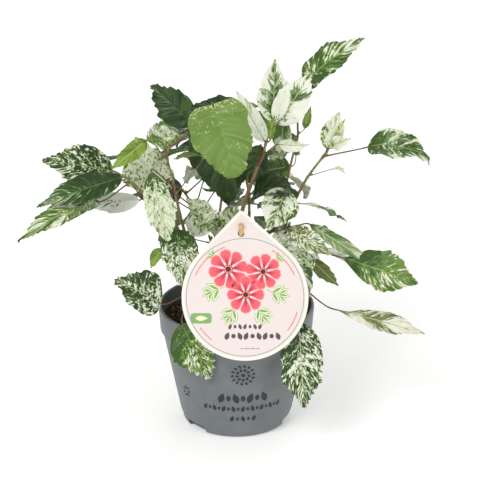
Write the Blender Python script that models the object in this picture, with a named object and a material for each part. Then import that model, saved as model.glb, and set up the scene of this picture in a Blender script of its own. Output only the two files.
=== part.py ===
"""A young variegated hibiscus shrub in its nursery pot, with a leaning plant label on a cane.

Units are metres, +Z is up, +X is right and -Y is the front. The origin is the centre of the pot's
flat underside. Headings are compass angles in degrees from +X towards +Y, so -90 faces the front.
"""

import math
import random

import bmesh
import bpy
from mathutils import Matrix, Vector

# Pot
POT_HEIGHT = 0.103
RIM_RADIUS = 0.065
RIM_BAND_HEIGHT = 0.020
RIM_BAND_DRAFT = 0.0012
RIM_STEP = 0.0016
FOOT_RADIUS = 0.0455
FOOT_ROUND = 0.004
FOOT_ROUND_STEPS = 2
WALL = 0.0016
FLOOR = 0.0025
LIP = 0.0008
POT_SEGMENTS = 48
NOTCH_HEADINGS = (-138, -18, 102)
NOTCH_WIDTH = 0.021
NOTCH_HEIGHT = 0.0070
NOTCH_DEPTH = 0.012

# Soil, and the gap between pieces that meet
SOIL_TOP = 0.091
GAP = 0.0003

# Stems and twigs
STEM_SIDES = 8
TWIG_SIDES = 6
PETIOLE_SIDES = 3
FLARE = 1.5
FLARE_HEIGHT = 0.008
FOOT_LEAD = 0.03
CURVE_STEPS = 3
PETIOLE_STEPS = 3
PETIOLE_RADIUS = 0.0009
PETIOLE_TAPER = 0.75
PETIOLE_SUNK = 0.004
PETIOLE_SET_OFF = 0.45
PETIOLE_COME_IN = 0.25
BRANCH_LEAD = 0.3

# Leaf blades
BLADE_STATIONS = (0.0, 0.08, 0.22, 0.4, 0.6, 0.8, 1.0)
BLADE_BROAD_END = 0.7
BLADE_FULLNESS = 0.9
BLADE_FOLD = 14
BLADE_THICKNESS_RATIO = 0.012
BLADE_LEAST_THICKNESS = 0.0006
BLADE_END_HALF_WIDTH = 0.0006
BLADE_LEAST_ARCH = 1

# Leaves that the golden angle sets round a shoot, with the ranges their angles and sizes vary over
GOLDEN_SHARE = 0.618
GROWN_FIRST_SHARE = 0.15
GROWN_SIZE_RANGE = (0.85, 1.15)
GROWN_WIDTH_RATIO = 0.68
GROWN_RISE_RANGE = (5, 35)
GROWN_PETIOLE_RANGE = (0.020, 0.036)
GROWN_TURN = 20
GROWN_PITCH = 18
GROWN_ROLL = 20
GROWN_ARCH_RANGE = (30, 60)
GROWN_CLEARANCE = 0.0075
POT_CLEARANCE = 0.004

# Label, a round card with a pointed top that leans on the rim and hangs on a cane
LABEL_RADIUS = 0.051
LABEL_THICKNESS = 0.0008
LABEL_LEAN = 23.4
LABEL_MIDDLE_UP = 0.0305
LABEL_APEX_UP = 0.100
LABEL_HOLE_UP = 0.084
LABEL_MIDDLE_X = 0.007
LABEL_APEX_X = 0.004
LABEL_APEX_ROUND = 0.003
LABEL_HOLE_WIDTH = 0.0065
LABEL_HOLE_HEIGHT = 0.0105
LABEL_HOLE_SEGMENTS = 20
LABEL_CUT_DEPTH = 0.01
LABEL_ARC_POINTS = 36
CANE_RADIUS = 0.002
CANE_FOOT = (0.007, -0.016)
CANE_PROUD = 0.006
CANE_SIDES = 12

# Edges sharper than these angles stay crisp when a surface is shaded smooth
POT_CRISP = 30
LIMB_CRISP = 50
LEAF_CRISP = 40

# Stems rise from the soil. A bough leaves a stem's side at the share "along" of its length, or carries
# on from its tip where there is none. A route lists the points the limb passes after its foot or its
# start, and radius gives its thickness at the start and at the tip.
STEMS = {
    "stem_left": {
        "foot": (-0.022, 0.004),
        "route": [(-0.031, 0.001, 0.125), (-0.043, -0.002, 0.170), (-0.049, 0.001, 0.196)],
        "radius": (0.0019, 0.0011),
    },
    "stem_back_left": {
        "foot": (-0.008, 0.014),
        "route": [(-0.013, 0.019, 0.130), (-0.014, 0.018, 0.174)],
        "radius": (0.0018, 0.0011),
    },
    "stem_middle": {
        "foot": (-0.004, 0.000),
        "route": [(-0.001, -0.008, 0.145), (0.004, -0.011, 0.186), (0.017, -0.008, 0.226)],
        "radius": (0.0022, 0.0014),
    },
    "stem_right": {
        "foot": (0.015, 0.006),
        "route": [(0.027, 0.006, 0.135), (0.035, 0.007, 0.175)],
        "radius": (0.0021, 0.0014),
    },
    "stem_low_left": {
        "foot": (-0.024, -0.018),
        "route": [(-0.034, -0.026, 0.118)],
        "radius": (0.0016, 0.0010),
    },
    "stem_low_right": {
        "foot": (0.028, -0.012),
        "route": [(0.040, -0.018, 0.114)],
        "radius": (0.0016, 0.0010),
    },
    "stem_back": {
        "foot": (0.005, 0.027),
        "route": [(0.009, 0.036, 0.130), (0.011, 0.043, 0.168)],
        "radius": (0.0020, 0.0013),
    },
    "stem_low_back_left": {
        "foot": (-0.018, 0.030),
        "route": [(-0.027, 0.043, 0.112)],
        "radius": (0.0016, 0.0011),
    },
    "stem_low_back_right": {
        "foot": (0.028, 0.024),
        "route": [(0.040, 0.036, 0.114)],
        "radius": (0.0016, 0.0011),
    },
}

BOUGHS = {
    "bough_far_left": {
        "stem": "stem_left",
        "along": 0.84,
        "route": [(-0.060, 0.003, 0.190), (-0.072, 0.004, 0.195), (-0.081, 0.003, 0.204)],
        "radius": (0.0011, 0.0009),
    },
    "bough_right_back": {
        "stem": "stem_right",
        "route": [(0.041, 0.010, 0.205), (0.047, 0.012, 0.232)],
        "radius": (0.0012, 0.0009),
    },
    "bough_right": {
        "stem": "stem_right",
        "along": 0.88,
        "route": [(0.044, -0.002, 0.186), (0.057, -0.003, 0.214)],
        "radius": (0.0013, 0.0011),
    },
    "bough_back_left": {
        "stem": "stem_back",
        "along": 0.52,
        "route": [(-0.012, 0.050, 0.143), (-0.026, 0.063, 0.152)],
        "radius": (0.0012, 0.0010),
    },
    "bough_back_right": {
        "stem": "stem_back",
        "along": 0.62,
        "route": [(0.024, 0.055, 0.143), (0.032, 0.068, 0.147)],
        "radius": (0.0012, 0.0010),
    },
}

# Each mass of leaves grows on one shoot. The shoot carries on from a limb's tip, or leaves a stem's
# side where "along" is given. A leaf row holds: share of the way along the shoot; heading, rise and
# length of its petiole; heading and pitch from the blade's foot to its tip; the blade's length and
# width; the roll of its upper face to the right; and the arch of the blade from foot to tip.
SHOOTS = {
    "leaves_far_left": {
        "limb": "bough_far_left",
        "route": [(-0.086, 0.002, 0.210), (-0.091, 0.000, 0.215)],
        "radius": (0.0009, 0.0008),
        "leaves": [
            (0.90, 124, 0, 0.021, -167, 13, 0.060, 0.033, -61, 25),
            (1.00, 180, -22, 0.002, -162, -13, 0.076, 0.023, -58, 35),
            (0.50, -171, -32, 0.030, -151, -16, 0.079, 0.022, -28, 45),
            (0.45, 61, -60, 0.022, -177, 0, 0.050, 0.018, 125, 25),
        ],
    },
    "leaves_left_top": {
        "limb": "stem_left",
        "route": [(-0.052, 0.002, 0.213), (-0.056, 0.004, 0.230), (-0.054, 0.007, 0.241)],
        "radius": (0.0010, 0.0008),
        "leaves": [
            (0.20, -121, 34, 0.040, -44, -71, 0.057, 0.024, 45, 20),
            (0.05, -10, 60, 0.041, -150, 2, 0.024, 0.012, 0, 20),
            (0.70, 160, 39, 0.024, -143, -27, 0.039, 0.015, -57, 30),
            (0.75, 117, 67, 0.006, 110, 30, 0.030, 0.028, 0, 20),
            (0.90, 19, 41, 0.029, 153, 36, 0.048, 0.029, -69, 30),
        ],
    },
    "leaves_left_side": {
        "limb": "stem_left",
        "along": 0.70,
        "route": [(-0.053, 0.009, 0.176), (-0.060, 0.018, 0.188)],
        "radius": (0.0009, 0.0008),
        "leaves": [
            (1.00, 140, 24, 0.014, 143, 69, 0.047, 0.040, -47, 20),
            (0.80, 95, 70, 0.012, 80, -70, 0.040, 0.028, 60, 30),
            (0.30, -89, 19, 0.024, -82, -57, 0.048, 0.030, 6, 25),
        ],
    },
    "leaves_centre_left": {
        "limb": "stem_back_left",
        "route": [
            (-0.012, 0.020, 0.190),
            (-0.009, 0.018, 0.215),
            (-0.013, 0.008, 0.245),
            (-0.020, -0.006, 0.268),
        ],
        "radius": (0.0011, 0.0008),
        "leaves": [
            (0.66, 113, 77, 0.038, -23, -84, 0.093, 0.056, 65, 20),
            (1.00, -84, 44, 0.022, -62, -51, 0.064, 0.050, 27, 35),
            (0.80, 8, 20, 0.025, 175, 13, 0.048, 0.036, -82, 30),
        ],
    },
    "leaves_centre_low": {
        "limb": "stem_back_left",
        "along": 0.62,
        "route": [(-0.020, 0.006, 0.152), (-0.022, 0.000, 0.162)],
        "radius": (0.0009, 0.0008),
        "leaves": [
            (0.70, -160, 30, 0.020, 30, 38, 0.030, 0.028, 20, 10),
            (0.95, 31, -19, 0.009, 19, 59, 0.032, 0.032, 70, 15),
            (0.50, 84, 88, 0.024, 165, 37, 0.029, 0.018, -64, 15),
        ],
    },
    "leaves_middle_low": {
        "limb": "stem_middle",
        "along": 0.78,
        "route": [(0.020, -0.002, 0.203), (0.027, 0.000, 0.208)],
        "radius": (0.0009, 0.0008),
        "leaves": [
            (0.60, -175, -40, 0.008, -9, 6, 0.046, 0.031, 20, 120),
            (1.00, -32, -20, 0.031, -30, -10, 0.044, 0.008, 0, 30),
            (0.80, -33, 8, 0.022, -134, -52, 0.037, 0.030, -40, 30),
        ],
    },
    "leaves_middle_top": {
        "limb": "stem_middle",
        "route": [(0.021, -0.007, 0.234), (0.024, -0.005, 0.246), (0.027, -0.003, 0.258)],
        "radius": (0.0013, 0.0009),
        "leaves": [
            (0.10, 82, 59, 0.015, 166, -77, 0.036, 0.021, -84, 15),
            (0.25, 41, 76, 0.013, 168, 60, 0.048, 0.016, -71, 20),
            (0.60, -40, 40, 0.006, 35, 78, 0.020, 0.010, 0, 10),
            (0.95, 42, 47, 0.007, 86, 72, 0.051, 0.027, -7, 20),
            (0.80, 28, 45, 0.012, 6, 57, 0.050, 0.028, 84, 20),
            (1.00, 58, 0, 0.022, -98, -72, 0.031, 0.018, 20, 15),
            (0.30, -14, 39, 0.017, -23, 7, 0.027, 0.012, 103, 25),
        ],
    },
    "leaves_right_top": {
        "limb": "bough_right_back",
        "route": [(0.050, 0.012, 0.245), (0.050, 0.013, 0.262), (0.053, 0.012, 0.280)],
        "radius": (0.0009, 0.0008),
        "leaves": [
            (0.22, 113, -65, 0.030, 178, -10, 0.026, 0.022, -61, 15),
            (0.05, 125, -30, 0.011, 180, -12, 0.021, 0.018, -20, 20),
            (0.30, 22, 40, 0.008, -27, 75, 0.020, 0.007, 109, 10),
            (1.00, 73, 49, 0.008, -20, 42, 0.069, 0.026, 59, 45),
        ],
    },
    "leaves_right": {
        "limb": "bough_right",
        "route": [(0.064, -0.004, 0.225), (0.072, -0.005, 0.236)],
        "radius": (0.0011, 0.0009),
        "leaves": [
            (0.90, 8, 10, 0.037, -21, -5, 0.060, 0.028, 35, 75),
            (0.10, -16, 22, 0.022, -44, -5, 0.013, 0.008, 0, 60),
            (0.80, 30, 56, 0.009, 45, 63, 0.032, 0.019, 34, 15),
            (0.90, -21, 64, 0.009, -49, 57, 0.034, 0.013, 131, 15),
            (1.00, -33, 57, 0.010, -53, 27, 0.027, 0.012, 95, 25),
        ],
    },
    "leaves_right_low": {
        "limb": "stem_right",
        "along": 0.76,
        "route": [(0.040, -0.008, 0.166), (0.043, -0.013, 0.178)],
        "radius": (0.0011, 0.0009),
        "leaves": [
            (0.90, 2, 9, 0.018, -24, -25, 0.065, 0.012, 62, 25),
            (1.00, -100, -20, 0.005, -31, -20, 0.043, 0.020, 59, 25),
            (0.40, -24, -6, 0.054, -21, -12, 0.066, 0.032, 59, 30),
            (0.20, -12, -19, 0.029, -5, -45, 0.033, 0.012, 72, 25),
            (0.70, -142, 24, 0.012, -40, -54, 0.061, 0.036, 15, 25),
        ],
    },
    "leaves_rim_left": {
        "limb": "stem_low_left",
        "route": [(-0.039, -0.029, 0.132), (-0.044, -0.028, 0.152)],
        "radius": (0.0010, 0.0008),
        "leaves": [
            (1.00, 155, 25, 0.020, -123, -37, 0.020, 0.012, 0, 20),
            (0.20, -145, -5, 0.030, -156, 35, 0.048, 0.037, -60, 20),
            (0.08, -108, -25, 0.030, -24, -62, 0.051, 0.036, 75, 19),
        ],
    },
    "leaves_rim_right": {
        "limb": "stem_low_right",
        "route": [(0.045, -0.020, 0.122), (0.050, -0.022, 0.130)],
        "radius": (0.0010, 0.0008),
        "leaves": [
            (1.00, -5, -36, 0.037, -15, -10, 0.078, 0.017, 55, 20),
            (0.70, -83, -31, 0.034, -73, -77, 0.073, 0.036, 18, 20),
        ],
    },
    "leaves_back_left": {
        "limb": "bough_back_left",
        "route": [(-0.036, 0.074, 0.161), (-0.045, 0.083, 0.172)],
        "radius": (0.0010, 0.0008),
        "grown": {"seed": 77, "count": 20, "outward": 110, "spread": 200, "pitch": -22, "size": 0.060},
    },
    "leaves_back_right": {
        "limb": "bough_back_right",
        "route": [(0.032, 0.078, 0.149), (0.031, 0.088, 0.153)],
        "radius": (0.0010, 0.0008),
        "grown": {"seed": 22, "count": 20, "outward": 130, "spread": 120, "pitch": -30, "size": 0.053},
    },
    "leaves_back_top": {
        "limb": "stem_back",
        "route": [(0.010, 0.046, 0.188), (0.004, 0.048, 0.218), (-0.004, 0.046, 0.245)],
        "radius": (0.0012, 0.0008),
        "grown": {"seed": 21, "count": 20, "outward": 135, "spread": 180, "pitch": -28, "size": 0.062},
    },
    "leaves_rim_back_left": {
        "limb": "stem_low_back_left",
        "route": [(-0.035, 0.050, 0.124), (-0.044, 0.055, 0.136)],
        "radius": (0.0011, 0.0008),
        "grown": {"seed": 22, "count": 20, "outward": 90, "spread": 140, "pitch": -42, "size": 0.054},
    },
    "leaves_rim_back_right": {
        "limb": "stem_low_back_right",
        "route": [(0.0455, 0.042, 0.126), (0.053, 0.046, 0.138)],
        "radius": (0.0011, 0.0008),
        "grown": {"seed": 38, "count": 20, "outward": 130, "spread": 200, "pitch": -42, "size": 0.054},
    },
}


def clear_scene():
    for obj in list(bpy.data.objects):
        bpy.data.objects.remove(obj, do_unlink=True)


def make_material(name, color, roughness):
    material = bpy.data.materials.new(name)
    material.use_nodes = True
    shader = material.node_tree.nodes["Principled BSDF"]
    shader.inputs["Base Color"].default_value = (*color, 1.0)
    shader.inputs["Roughness"].default_value = roughness
    shader.inputs["Metallic"].default_value = 0.0
    return material


def make_object(name, bm, material=None, smooth_angle=None):
    mesh = bpy.data.meshes.new(name)
    bm.to_mesh(mesh)
    bm.free()
    if smooth_angle is not None:
        mesh.shade_smooth()
        mesh.set_sharp_from_angle(angle=math.radians(smooth_angle))
    if material is not None:
        mesh.materials.append(material)
    obj = bpy.data.objects.new(name, mesh)
    bpy.context.scene.collection.objects.link(obj)
    return obj


def apply_boolean(obj, others, operation):
    """Joins the others to the object, or cuts them from it, and removes them."""
    group = bpy.data.collections.new(obj.name + "_pieces")
    bpy.context.scene.collection.children.link(group)
    for other in others:
        bpy.context.scene.collection.objects.unlink(other)
        group.objects.link(other)
    modifier = obj.modifiers.new("join", "BOOLEAN")
    modifier.operation = operation
    modifier.operand_type = "COLLECTION"
    modifier.collection = group
    modifier.solver = "EXACT"
    graph = bpy.context.evaluated_depsgraph_get()
    joined = bpy.data.meshes.new_from_object(obj.evaluated_get(graph), depsgraph=graph)
    obj.modifiers.clear()
    obj.data = joined
    for other in others:
        bpy.data.objects.remove(other, do_unlink=True)
    bpy.data.collections.remove(group)


def direction(heading, rise):
    """The unit vector that points at a heading and rises by an angle, both in degrees."""
    across = math.cos(math.radians(rise))
    turn = math.radians(heading)
    return Vector((across * math.cos(turn), across * math.sin(turn), math.sin(math.radians(rise))))


def smooth_curve(points, before=None, after=None):
    """Points on a smooth curve through the given ones; before and after steer its ends."""
    points = [Vector(point) for point in points]
    first = Vector(before) if before is not None else 2 * points[0] - points[1]
    last = Vector(after) if after is not None else 2 * points[-1] - points[-2]
    guide = [first, *points, last]
    curve = [points[0]]
    for a, b, c, d in zip(guide, guide[1:], guide[2:], guide[3:]):
        for step in range(1, CURVE_STEPS + 1):
            t = step / CURVE_STEPS
            linear = (c - a) * t
            square = (2 * a - 5 * b + 4 * c - d) * t**2
            cube = (3 * b - a - 3 * c + d) * t**3
            curve.append((2 * b + linear + square + cube) / 2)
    return curve


def point_along(curve, share):
    """The point at a share of the curve's length, and the curve's direction there."""
    lengths = [(b - a).length for a, b in zip(curve, curve[1:])]
    left = share * sum(lengths)
    for a, b, length in zip(curve, curve[1:], lengths):
        if left <= length:
            return a + (b - a) * (left / length), (b - a).normalized()
        left -= length
    return curve[-1], (curve[-1] - curve[-2]).normalized()


def tapered(curve, start, end):
    """Radii that change evenly along the curve's length."""
    gone = [0.0]
    for a, b in zip(curve, curve[1:]):
        gone.append(gone[-1] + (b - a).length)
    return [start + (end - start) * length / gone[-1] for length in gone]


def tube(curve, radii, sides, first=None, last=None):
    """A closed tube along a curve; first and last are the directions its end faces look along."""
    steps = [(b - a).normalized() for a, b in zip(curve, curve[1:])]
    turns = [(a + b).normalized() for a, b in zip(steps, steps[1:])]
    tangents = [first or steps[0], *turns, last or steps[-1]]
    bm = bmesh.new()
    rings = []
    side = tangents[0].orthogonal().normalized()
    for point, tangent, radius in zip(curve, tangents, radii):
        side = (side - tangent * side.dot(tangent)).normalized()
        other = tangent.cross(side)
        ring = []
        for i in range(sides):
            angle = 2 * math.pi * i / sides
            ring.append(bm.verts.new(point + radius * (math.cos(angle) * side + math.sin(angle) * other)))
        rings.append(ring)
    for low, high in zip(rings, rings[1:]):
        for i in range(sides):
            j = (i + 1) % sides
            bm.faces.new((low[i], low[j], high[j], high[i]))
    bm.faces.new(list(reversed(rings[0])))
    bm.faces.new(rings[-1])
    return bm


def turned(profile, segments):
    """A solid of revolution about Z from (radius, height) points that start and end on the axis."""
    bm = bmesh.new()
    verts = [bm.verts.new((radius, 0, height)) for radius, height in profile]
    edges = [bm.edges.new(pair) for pair in zip(verts, verts[1:])]
    bmesh.ops.spin(
        bm,
        geom=verts + edges,
        cent=(0, 0, 0),
        axis=(0, 0, 1),
        angle=2 * math.pi,
        steps=segments,
        use_merge=True,
    )
    bmesh.ops.remove_doubles(bm, verts=bm.verts, dist=1e-6)
    bmesh.ops.recalc_face_normals(bm, faces=bm.faces)
    return bm


def wall_radius(height):
    """The pot's outer radius below its rim band."""
    band_foot = POT_HEIGHT - RIM_BAND_HEIGHT
    top_radius = RIM_RADIUS - RIM_BAND_DRAFT - RIM_STEP
    return FOOT_RADIUS + (top_radius - FOOT_RADIUS) * min(height / band_foot, 1)


def make_pot(material):
    band_foot = POT_HEIGHT - RIM_BAND_HEIGHT
    band_radius = RIM_RADIUS - RIM_BAND_DRAFT
    inner_top = RIM_RADIUS - WALL - LIP
    profile = [(0, 0), (FOOT_RADIUS - FOOT_ROUND, 0)]
    for step in range(1, FOOT_ROUND_STEPS + 1):
        angle = math.pi / 2 * step / FOOT_ROUND_STEPS
        radius = FOOT_RADIUS - FOOT_ROUND * (1 - math.sin(angle))
        profile.append((radius, FOOT_ROUND * (1 - math.cos(angle))))
    profile += [
        (wall_radius(band_foot), band_foot - RIM_STEP),
        (band_radius, band_foot),
        (RIM_RADIUS, POT_HEIGHT - LIP),
        (RIM_RADIUS - LIP, POT_HEIGHT),
        (inner_top, POT_HEIGHT),
        (wall_radius(band_foot) - WALL, band_foot),
        (wall_radius(FLOOR) - WALL, FLOOR),
        (0, FLOOR),
    ]
    pot = make_object("pot", turned(profile, POT_SEGMENTS), material, smooth_angle=POT_CRISP)
    notches = []
    for heading in NOTCH_HEADINGS:
        bm = bmesh.new()
        bmesh.ops.create_cube(bm, size=1)
        bmesh.ops.scale(bm, vec=(NOTCH_DEPTH, NOTCH_WIDTH, 2 * NOTCH_HEIGHT), verts=bm.verts)
        bmesh.ops.translate(bm, vec=(FOOT_RADIUS, 0, 0), verts=bm.verts)
        bmesh.ops.rotate(bm, matrix=Matrix.Rotation(math.radians(heading), 3, "Z"), verts=bm.verts)
        notches.append(make_object("notch", bm))
    apply_boolean(pot, notches, "DIFFERENCE")


def make_soil(material):
    band_foot = POT_HEIGHT - RIM_BAND_HEIGHT
    inner_band = wall_radius(band_foot) - WALL
    inner_rim = RIM_RADIUS - WALL - LIP
    share = (SOIL_TOP - band_foot) / RIM_BAND_HEIGHT
    top_radius = inner_band + (inner_rim - inner_band) * share
    profile = [
        (0, FLOOR + GAP),
        (wall_radius(FLOOR) - WALL - 2 * GAP, FLOOR + GAP),
        (inner_band - 2 * GAP, band_foot),
        (top_radius - 2 * GAP, SOIL_TOP),
        (0, SOIL_TOP),
    ]
    make_object("soil", turned(profile, POT_SEGMENTS), material, smooth_angle=POT_CRISP)


def label_frame():
    """The middle of the label's foot line on the rim, its up direction and its outward normal."""
    lean = math.radians(LABEL_LEAN)
    up = Vector((0, math.sin(lean), math.cos(lean)))
    normal = Vector((0, -math.cos(lean), math.sin(lean)))
    foot = Vector((0, -RIM_RADIUS, POT_HEIGHT)) + normal * GAP
    return foot, up, normal


def label_outline():
    """The round card's outline in (across, up), with straight shoulders up to a rounded point."""
    middle = Vector((LABEL_MIDDLE_X, LABEL_MIDDLE_UP))
    apex = Vector((LABEL_APEX_X, LABEL_APEX_UP - LABEL_APEX_ROUND))
    to_apex = apex - middle
    tilt = math.atan2(to_apex.y, to_apex.x)
    opening = math.acos((LABEL_RADIUS - LABEL_APEX_ROUND) / to_apex.length)
    points = []
    for i in range(LABEL_ARC_POINTS + 1):
        angle = tilt + opening + (2 * math.pi - 2 * opening) * i / LABEL_ARC_POINTS
        points.append(middle + LABEL_RADIUS * Vector((math.cos(angle), math.sin(angle))))
    for angle in (tilt - opening, tilt, tilt + opening):
        points.append(apex + LABEL_APEX_ROUND * Vector((math.cos(angle), math.sin(angle))))
    return points


def make_label(material):
    foot, up, normal = label_frame()
    across = Vector((1, 0, 0))
    bm = bmesh.new()
    back = [bm.verts.new(foot + across * point.x + up * point.y) for point in label_outline()]
    face = bm.faces.new(back)
    grown = bmesh.ops.extrude_face_region(bm, geom=[face])["geom"]
    front = [item for item in grown if isinstance(item, bmesh.types.BMVert)]
    bmesh.ops.translate(bm, vec=normal * LABEL_THICKNESS, verts=front)
    bmesh.ops.recalc_face_normals(bm, faces=bm.faces)
    label = make_object("label", bm, material)

    hole_middle = foot + across * LABEL_APEX_X + up * LABEL_HOLE_UP
    bm = bmesh.new()
    bmesh.ops.create_cone(bm, cap_ends=True, segments=LABEL_HOLE_SEGMENTS, radius1=0.5, radius2=0.5, depth=1)
    bmesh.ops.scale(bm, vec=(LABEL_HOLE_WIDTH, LABEL_HOLE_HEIGHT, LABEL_CUT_DEPTH), verts=bm.verts)
    frame = Matrix((across, up, normal)).transposed().to_4x4()
    bmesh.ops.transform(bm, matrix=Matrix.Translation(hole_middle) @ frame, verts=bm.verts)
    apply_boolean(label, [make_object("hole", bm)], "DIFFERENCE")


def make_cane(material):
    foot, up, normal = label_frame()
    start = Vector((*CANE_FOOT, SOIL_TOP + GAP))
    through = foot + Vector((LABEL_APEX_X, 0, 0)) + up * LABEL_HOLE_UP + normal * LABEL_THICKNESS / 2
    along = (through - start).normalized()
    curve = [start, through + along * CANE_PROUD]
    bm = tube(curve, [CANE_RADIUS, CANE_RADIUS], CANE_SIDES, first=Vector((0, 0, 1)))
    make_object("label_cane", bm, material, smooth_angle=LIMB_CRISP)


def carries_on(name):
    """The first point of the shoot or bough that carries on from a limb's tip, if there is one."""
    for shoot in SHOOTS.values():
        if shoot["limb"] == name and "along" not in shoot:
            return Vector(shoot["route"][0])
    for bough in BOUGHS.values():
        if bough["stem"] == name and "along" not in bough:
            return Vector(bough["route"][0])
    return None


def stem_curve(name):
    """The stem's centre line from its flat cut on the soil, steered into what carries on from its tip."""
    stem = STEMS[name]
    foot = Vector((*stem["foot"], SOIL_TOP + GAP))
    below = foot - Vector((0, 0, FOOT_LEAD))
    return smooth_curve([foot, *stem["route"]], before=below, after=carries_on(name))


def stem_radii(name, curve):
    thick, thin = STEMS[name]["radius"]
    radii = tapered(curve, thick, thin)
    for i, point in enumerate(curve):
        share = max(0, 1 - (point.z - SOIL_TOP) / FLARE_HEIGHT)
        radii[i] *= 1 + (FLARE - 1) * share
    return radii


def side_start(stem_name, along, target):
    """Where a branch leaves a stem's side, clear of it, and a lead point straight out from there."""
    curve = stem_curve(stem_name)
    point, tangent = point_along(curve, along)
    thick, thin = STEMS[stem_name]["radius"]
    radius = thick + (thin - thick) * along
    out = Vector(target) - point
    out = (out - tangent * out.dot(tangent)).normalized()
    start = point + out * (radius + GAP)
    lead = start + out * BRANCH_LEAD * (Vector(target) - start).length
    return start, lead, out


def bough_curve(name):
    """The bough's centre line, and the direction its start face looks away from."""
    bough = BOUGHS[name]
    route = bough["route"]
    if "along" in bough:
        start, lead, out = side_start(bough["stem"], bough["along"], route[0])
        before = start - (lead - start)
        return smooth_curve([start, lead, *route], before=before, after=carries_on(name)), out
    tip, before = limb_end(bough["stem"])
    out = end_direction(bough["stem"])
    return smooth_curve([tip + out * GAP, *route], before=before, after=carries_on(name)), out


def limb_end(name):
    """A limb's tip and the point before it."""
    curve = stem_curve(name) if name in STEMS else bough_curve(name)[0]
    return curve[-1], curve[-2]


def end_direction(name):
    """The direction a limb's end face looks along, which leads into what carries on from it."""
    tip, before = limb_end(name)
    return ((carries_on(name) or tip) - before).normalized()


def shoot_curve(name):
    """The centre line of a mass's shoot, and the direction its start face looks away from."""
    shoot = SHOOTS[name]
    if "along" in shoot:
        start, lead, out = side_start(shoot["limb"], shoot["along"], shoot["route"][0])
        return smooth_curve([start, lead, *shoot["route"]], before=start - (lead - start)), out
    tip, before = limb_end(shoot["limb"])
    out = end_direction(shoot["limb"])
    start = tip + out * GAP
    return smooth_curve([start, *shoot["route"]], before=before), out


def leaf_axes(heading, pitch, roll):
    """The blade's way from foot to tip, its right-hand side and its upper normal."""
    along = direction(heading, pitch)
    flat_side = along.cross(Vector((0, 0, 1))).normalized()
    turn = Matrix.Rotation(math.radians(roll), 3, along)
    side = turn @ flat_side
    return along, side, side.cross(along)


def blade_half_width(share, width):
    """Half the blade's width: an egg shape, widest at about a third, that runs out to a point."""
    swell = max(0.0, math.sin(math.pi * share**BLADE_BROAD_END)) ** BLADE_FULLNESS
    return max(width / 2 * swell, BLADE_END_HALF_WIDTH)


def blade_row(foot, axes, length, width, arch, share):
    """The left edge, midrib and right edge of the blade at a share of its length, and the normal."""
    along, side, normal = axes
    bend = math.radians(max(arch, BLADE_LEAST_ARCH))
    angle = bend * (0.5 - share)
    forward = length * (math.sin(bend / 2) - math.sin(angle)) / bend
    lift = length * (math.cos(angle) - math.cos(bend / 2)) / bend
    middle = foot + along * forward + normal * lift
    local_normal = normal * math.cos(angle) - along * math.sin(angle)
    half = blade_half_width(share, width)
    fold = math.radians(BLADE_FOLD)
    rise = local_normal * half * math.sin(fold)
    reach = side * half * math.cos(fold)
    return middle - reach + rise, middle, middle + reach + rise, local_normal


def make_blade(foot, heading, pitch, length, width, roll, arch):
    axes = leaf_axes(heading, pitch, roll)
    thickness = max(length * BLADE_THICKNESS_RATIO, BLADE_LEAST_THICKNESS)
    bm = bmesh.new()
    rings = []
    for share in BLADE_STATIONS:
        left, middle, right, normal = blade_row(foot, axes, length, width, arch, share)
        half = normal * thickness / 2
        upper = [left + half, middle + half, right + half]
        lower = [right - half, middle - half, left - half]
        rings.append([bm.verts.new(point) for point in upper + lower])
    for low, high in zip(rings, rings[1:]):
        for i in range(6):
            j = (i + 1) % 6
            bm.faces.new((low[i], low[j], high[j], high[i]))
    bm.faces.new(list(reversed(rings[0])))
    bm.faces.new(rings[-1])
    bmesh.ops.recalc_face_normals(bm, faces=bm.faces)
    return make_object("blade", bm)


def petiole_points(start, foot, blade_way):
    """A petiole's line, which bends into the blade's own way and runs on a little inside the blade."""
    span = foot - start
    set_off = start + span * PETIOLE_SET_OFF
    come_in = foot - blade_way * PETIOLE_COME_IN * span.length
    points = []
    for step in range(PETIOLE_STEPS + 1):
        t = step / PETIOLE_STEPS
        near = start * (1 - t) ** 3 + set_off * 3 * t * (1 - t) ** 2
        far = come_in * 3 * t**2 * (1 - t) + foot * t**3
        points.append(near + far)
    points.append(foot + blade_way * PETIOLE_SUNK)
    return points


def leaf_start_direction(heading, pitch, roll, arch):
    """The way the blade sets off from its foot, which its arch lifts above its line to the tip."""
    along, _, normal = leaf_axes(heading, pitch, roll)
    lift = math.radians(arch / 2)
    return along * math.cos(lift) + normal * math.sin(lift)


def leaf_points(curve, row):
    """The petiole's line, the blade's foot and sample points over the whole leaf."""
    share, turn, rise, petiole, heading, pitch, length, width, roll, arch = row
    start = point_along(curve, share)[0]
    foot = start + direction(turn, rise) * petiole
    line = petiole_points(start, foot, leaf_start_direction(heading, pitch, roll, arch))
    axes = leaf_axes(heading, pitch, roll)
    samples = line[1:]
    for station in BLADE_STATIONS[1:]:
        samples += blade_row(foot, axes, length, width, arch, station)[:3]
    return line, foot, samples


def make_leaf(curve, row):
    line, foot, _ = leaf_points(curve, row)
    radii = tapered(line, PETIOLE_RADIUS, PETIOLE_RADIUS * PETIOLE_TAPER)
    stalk = make_object("petiole", tube(line, radii, PETIOLE_SIDES))
    return [stalk, make_blade(foot, *row[4:])]


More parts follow.
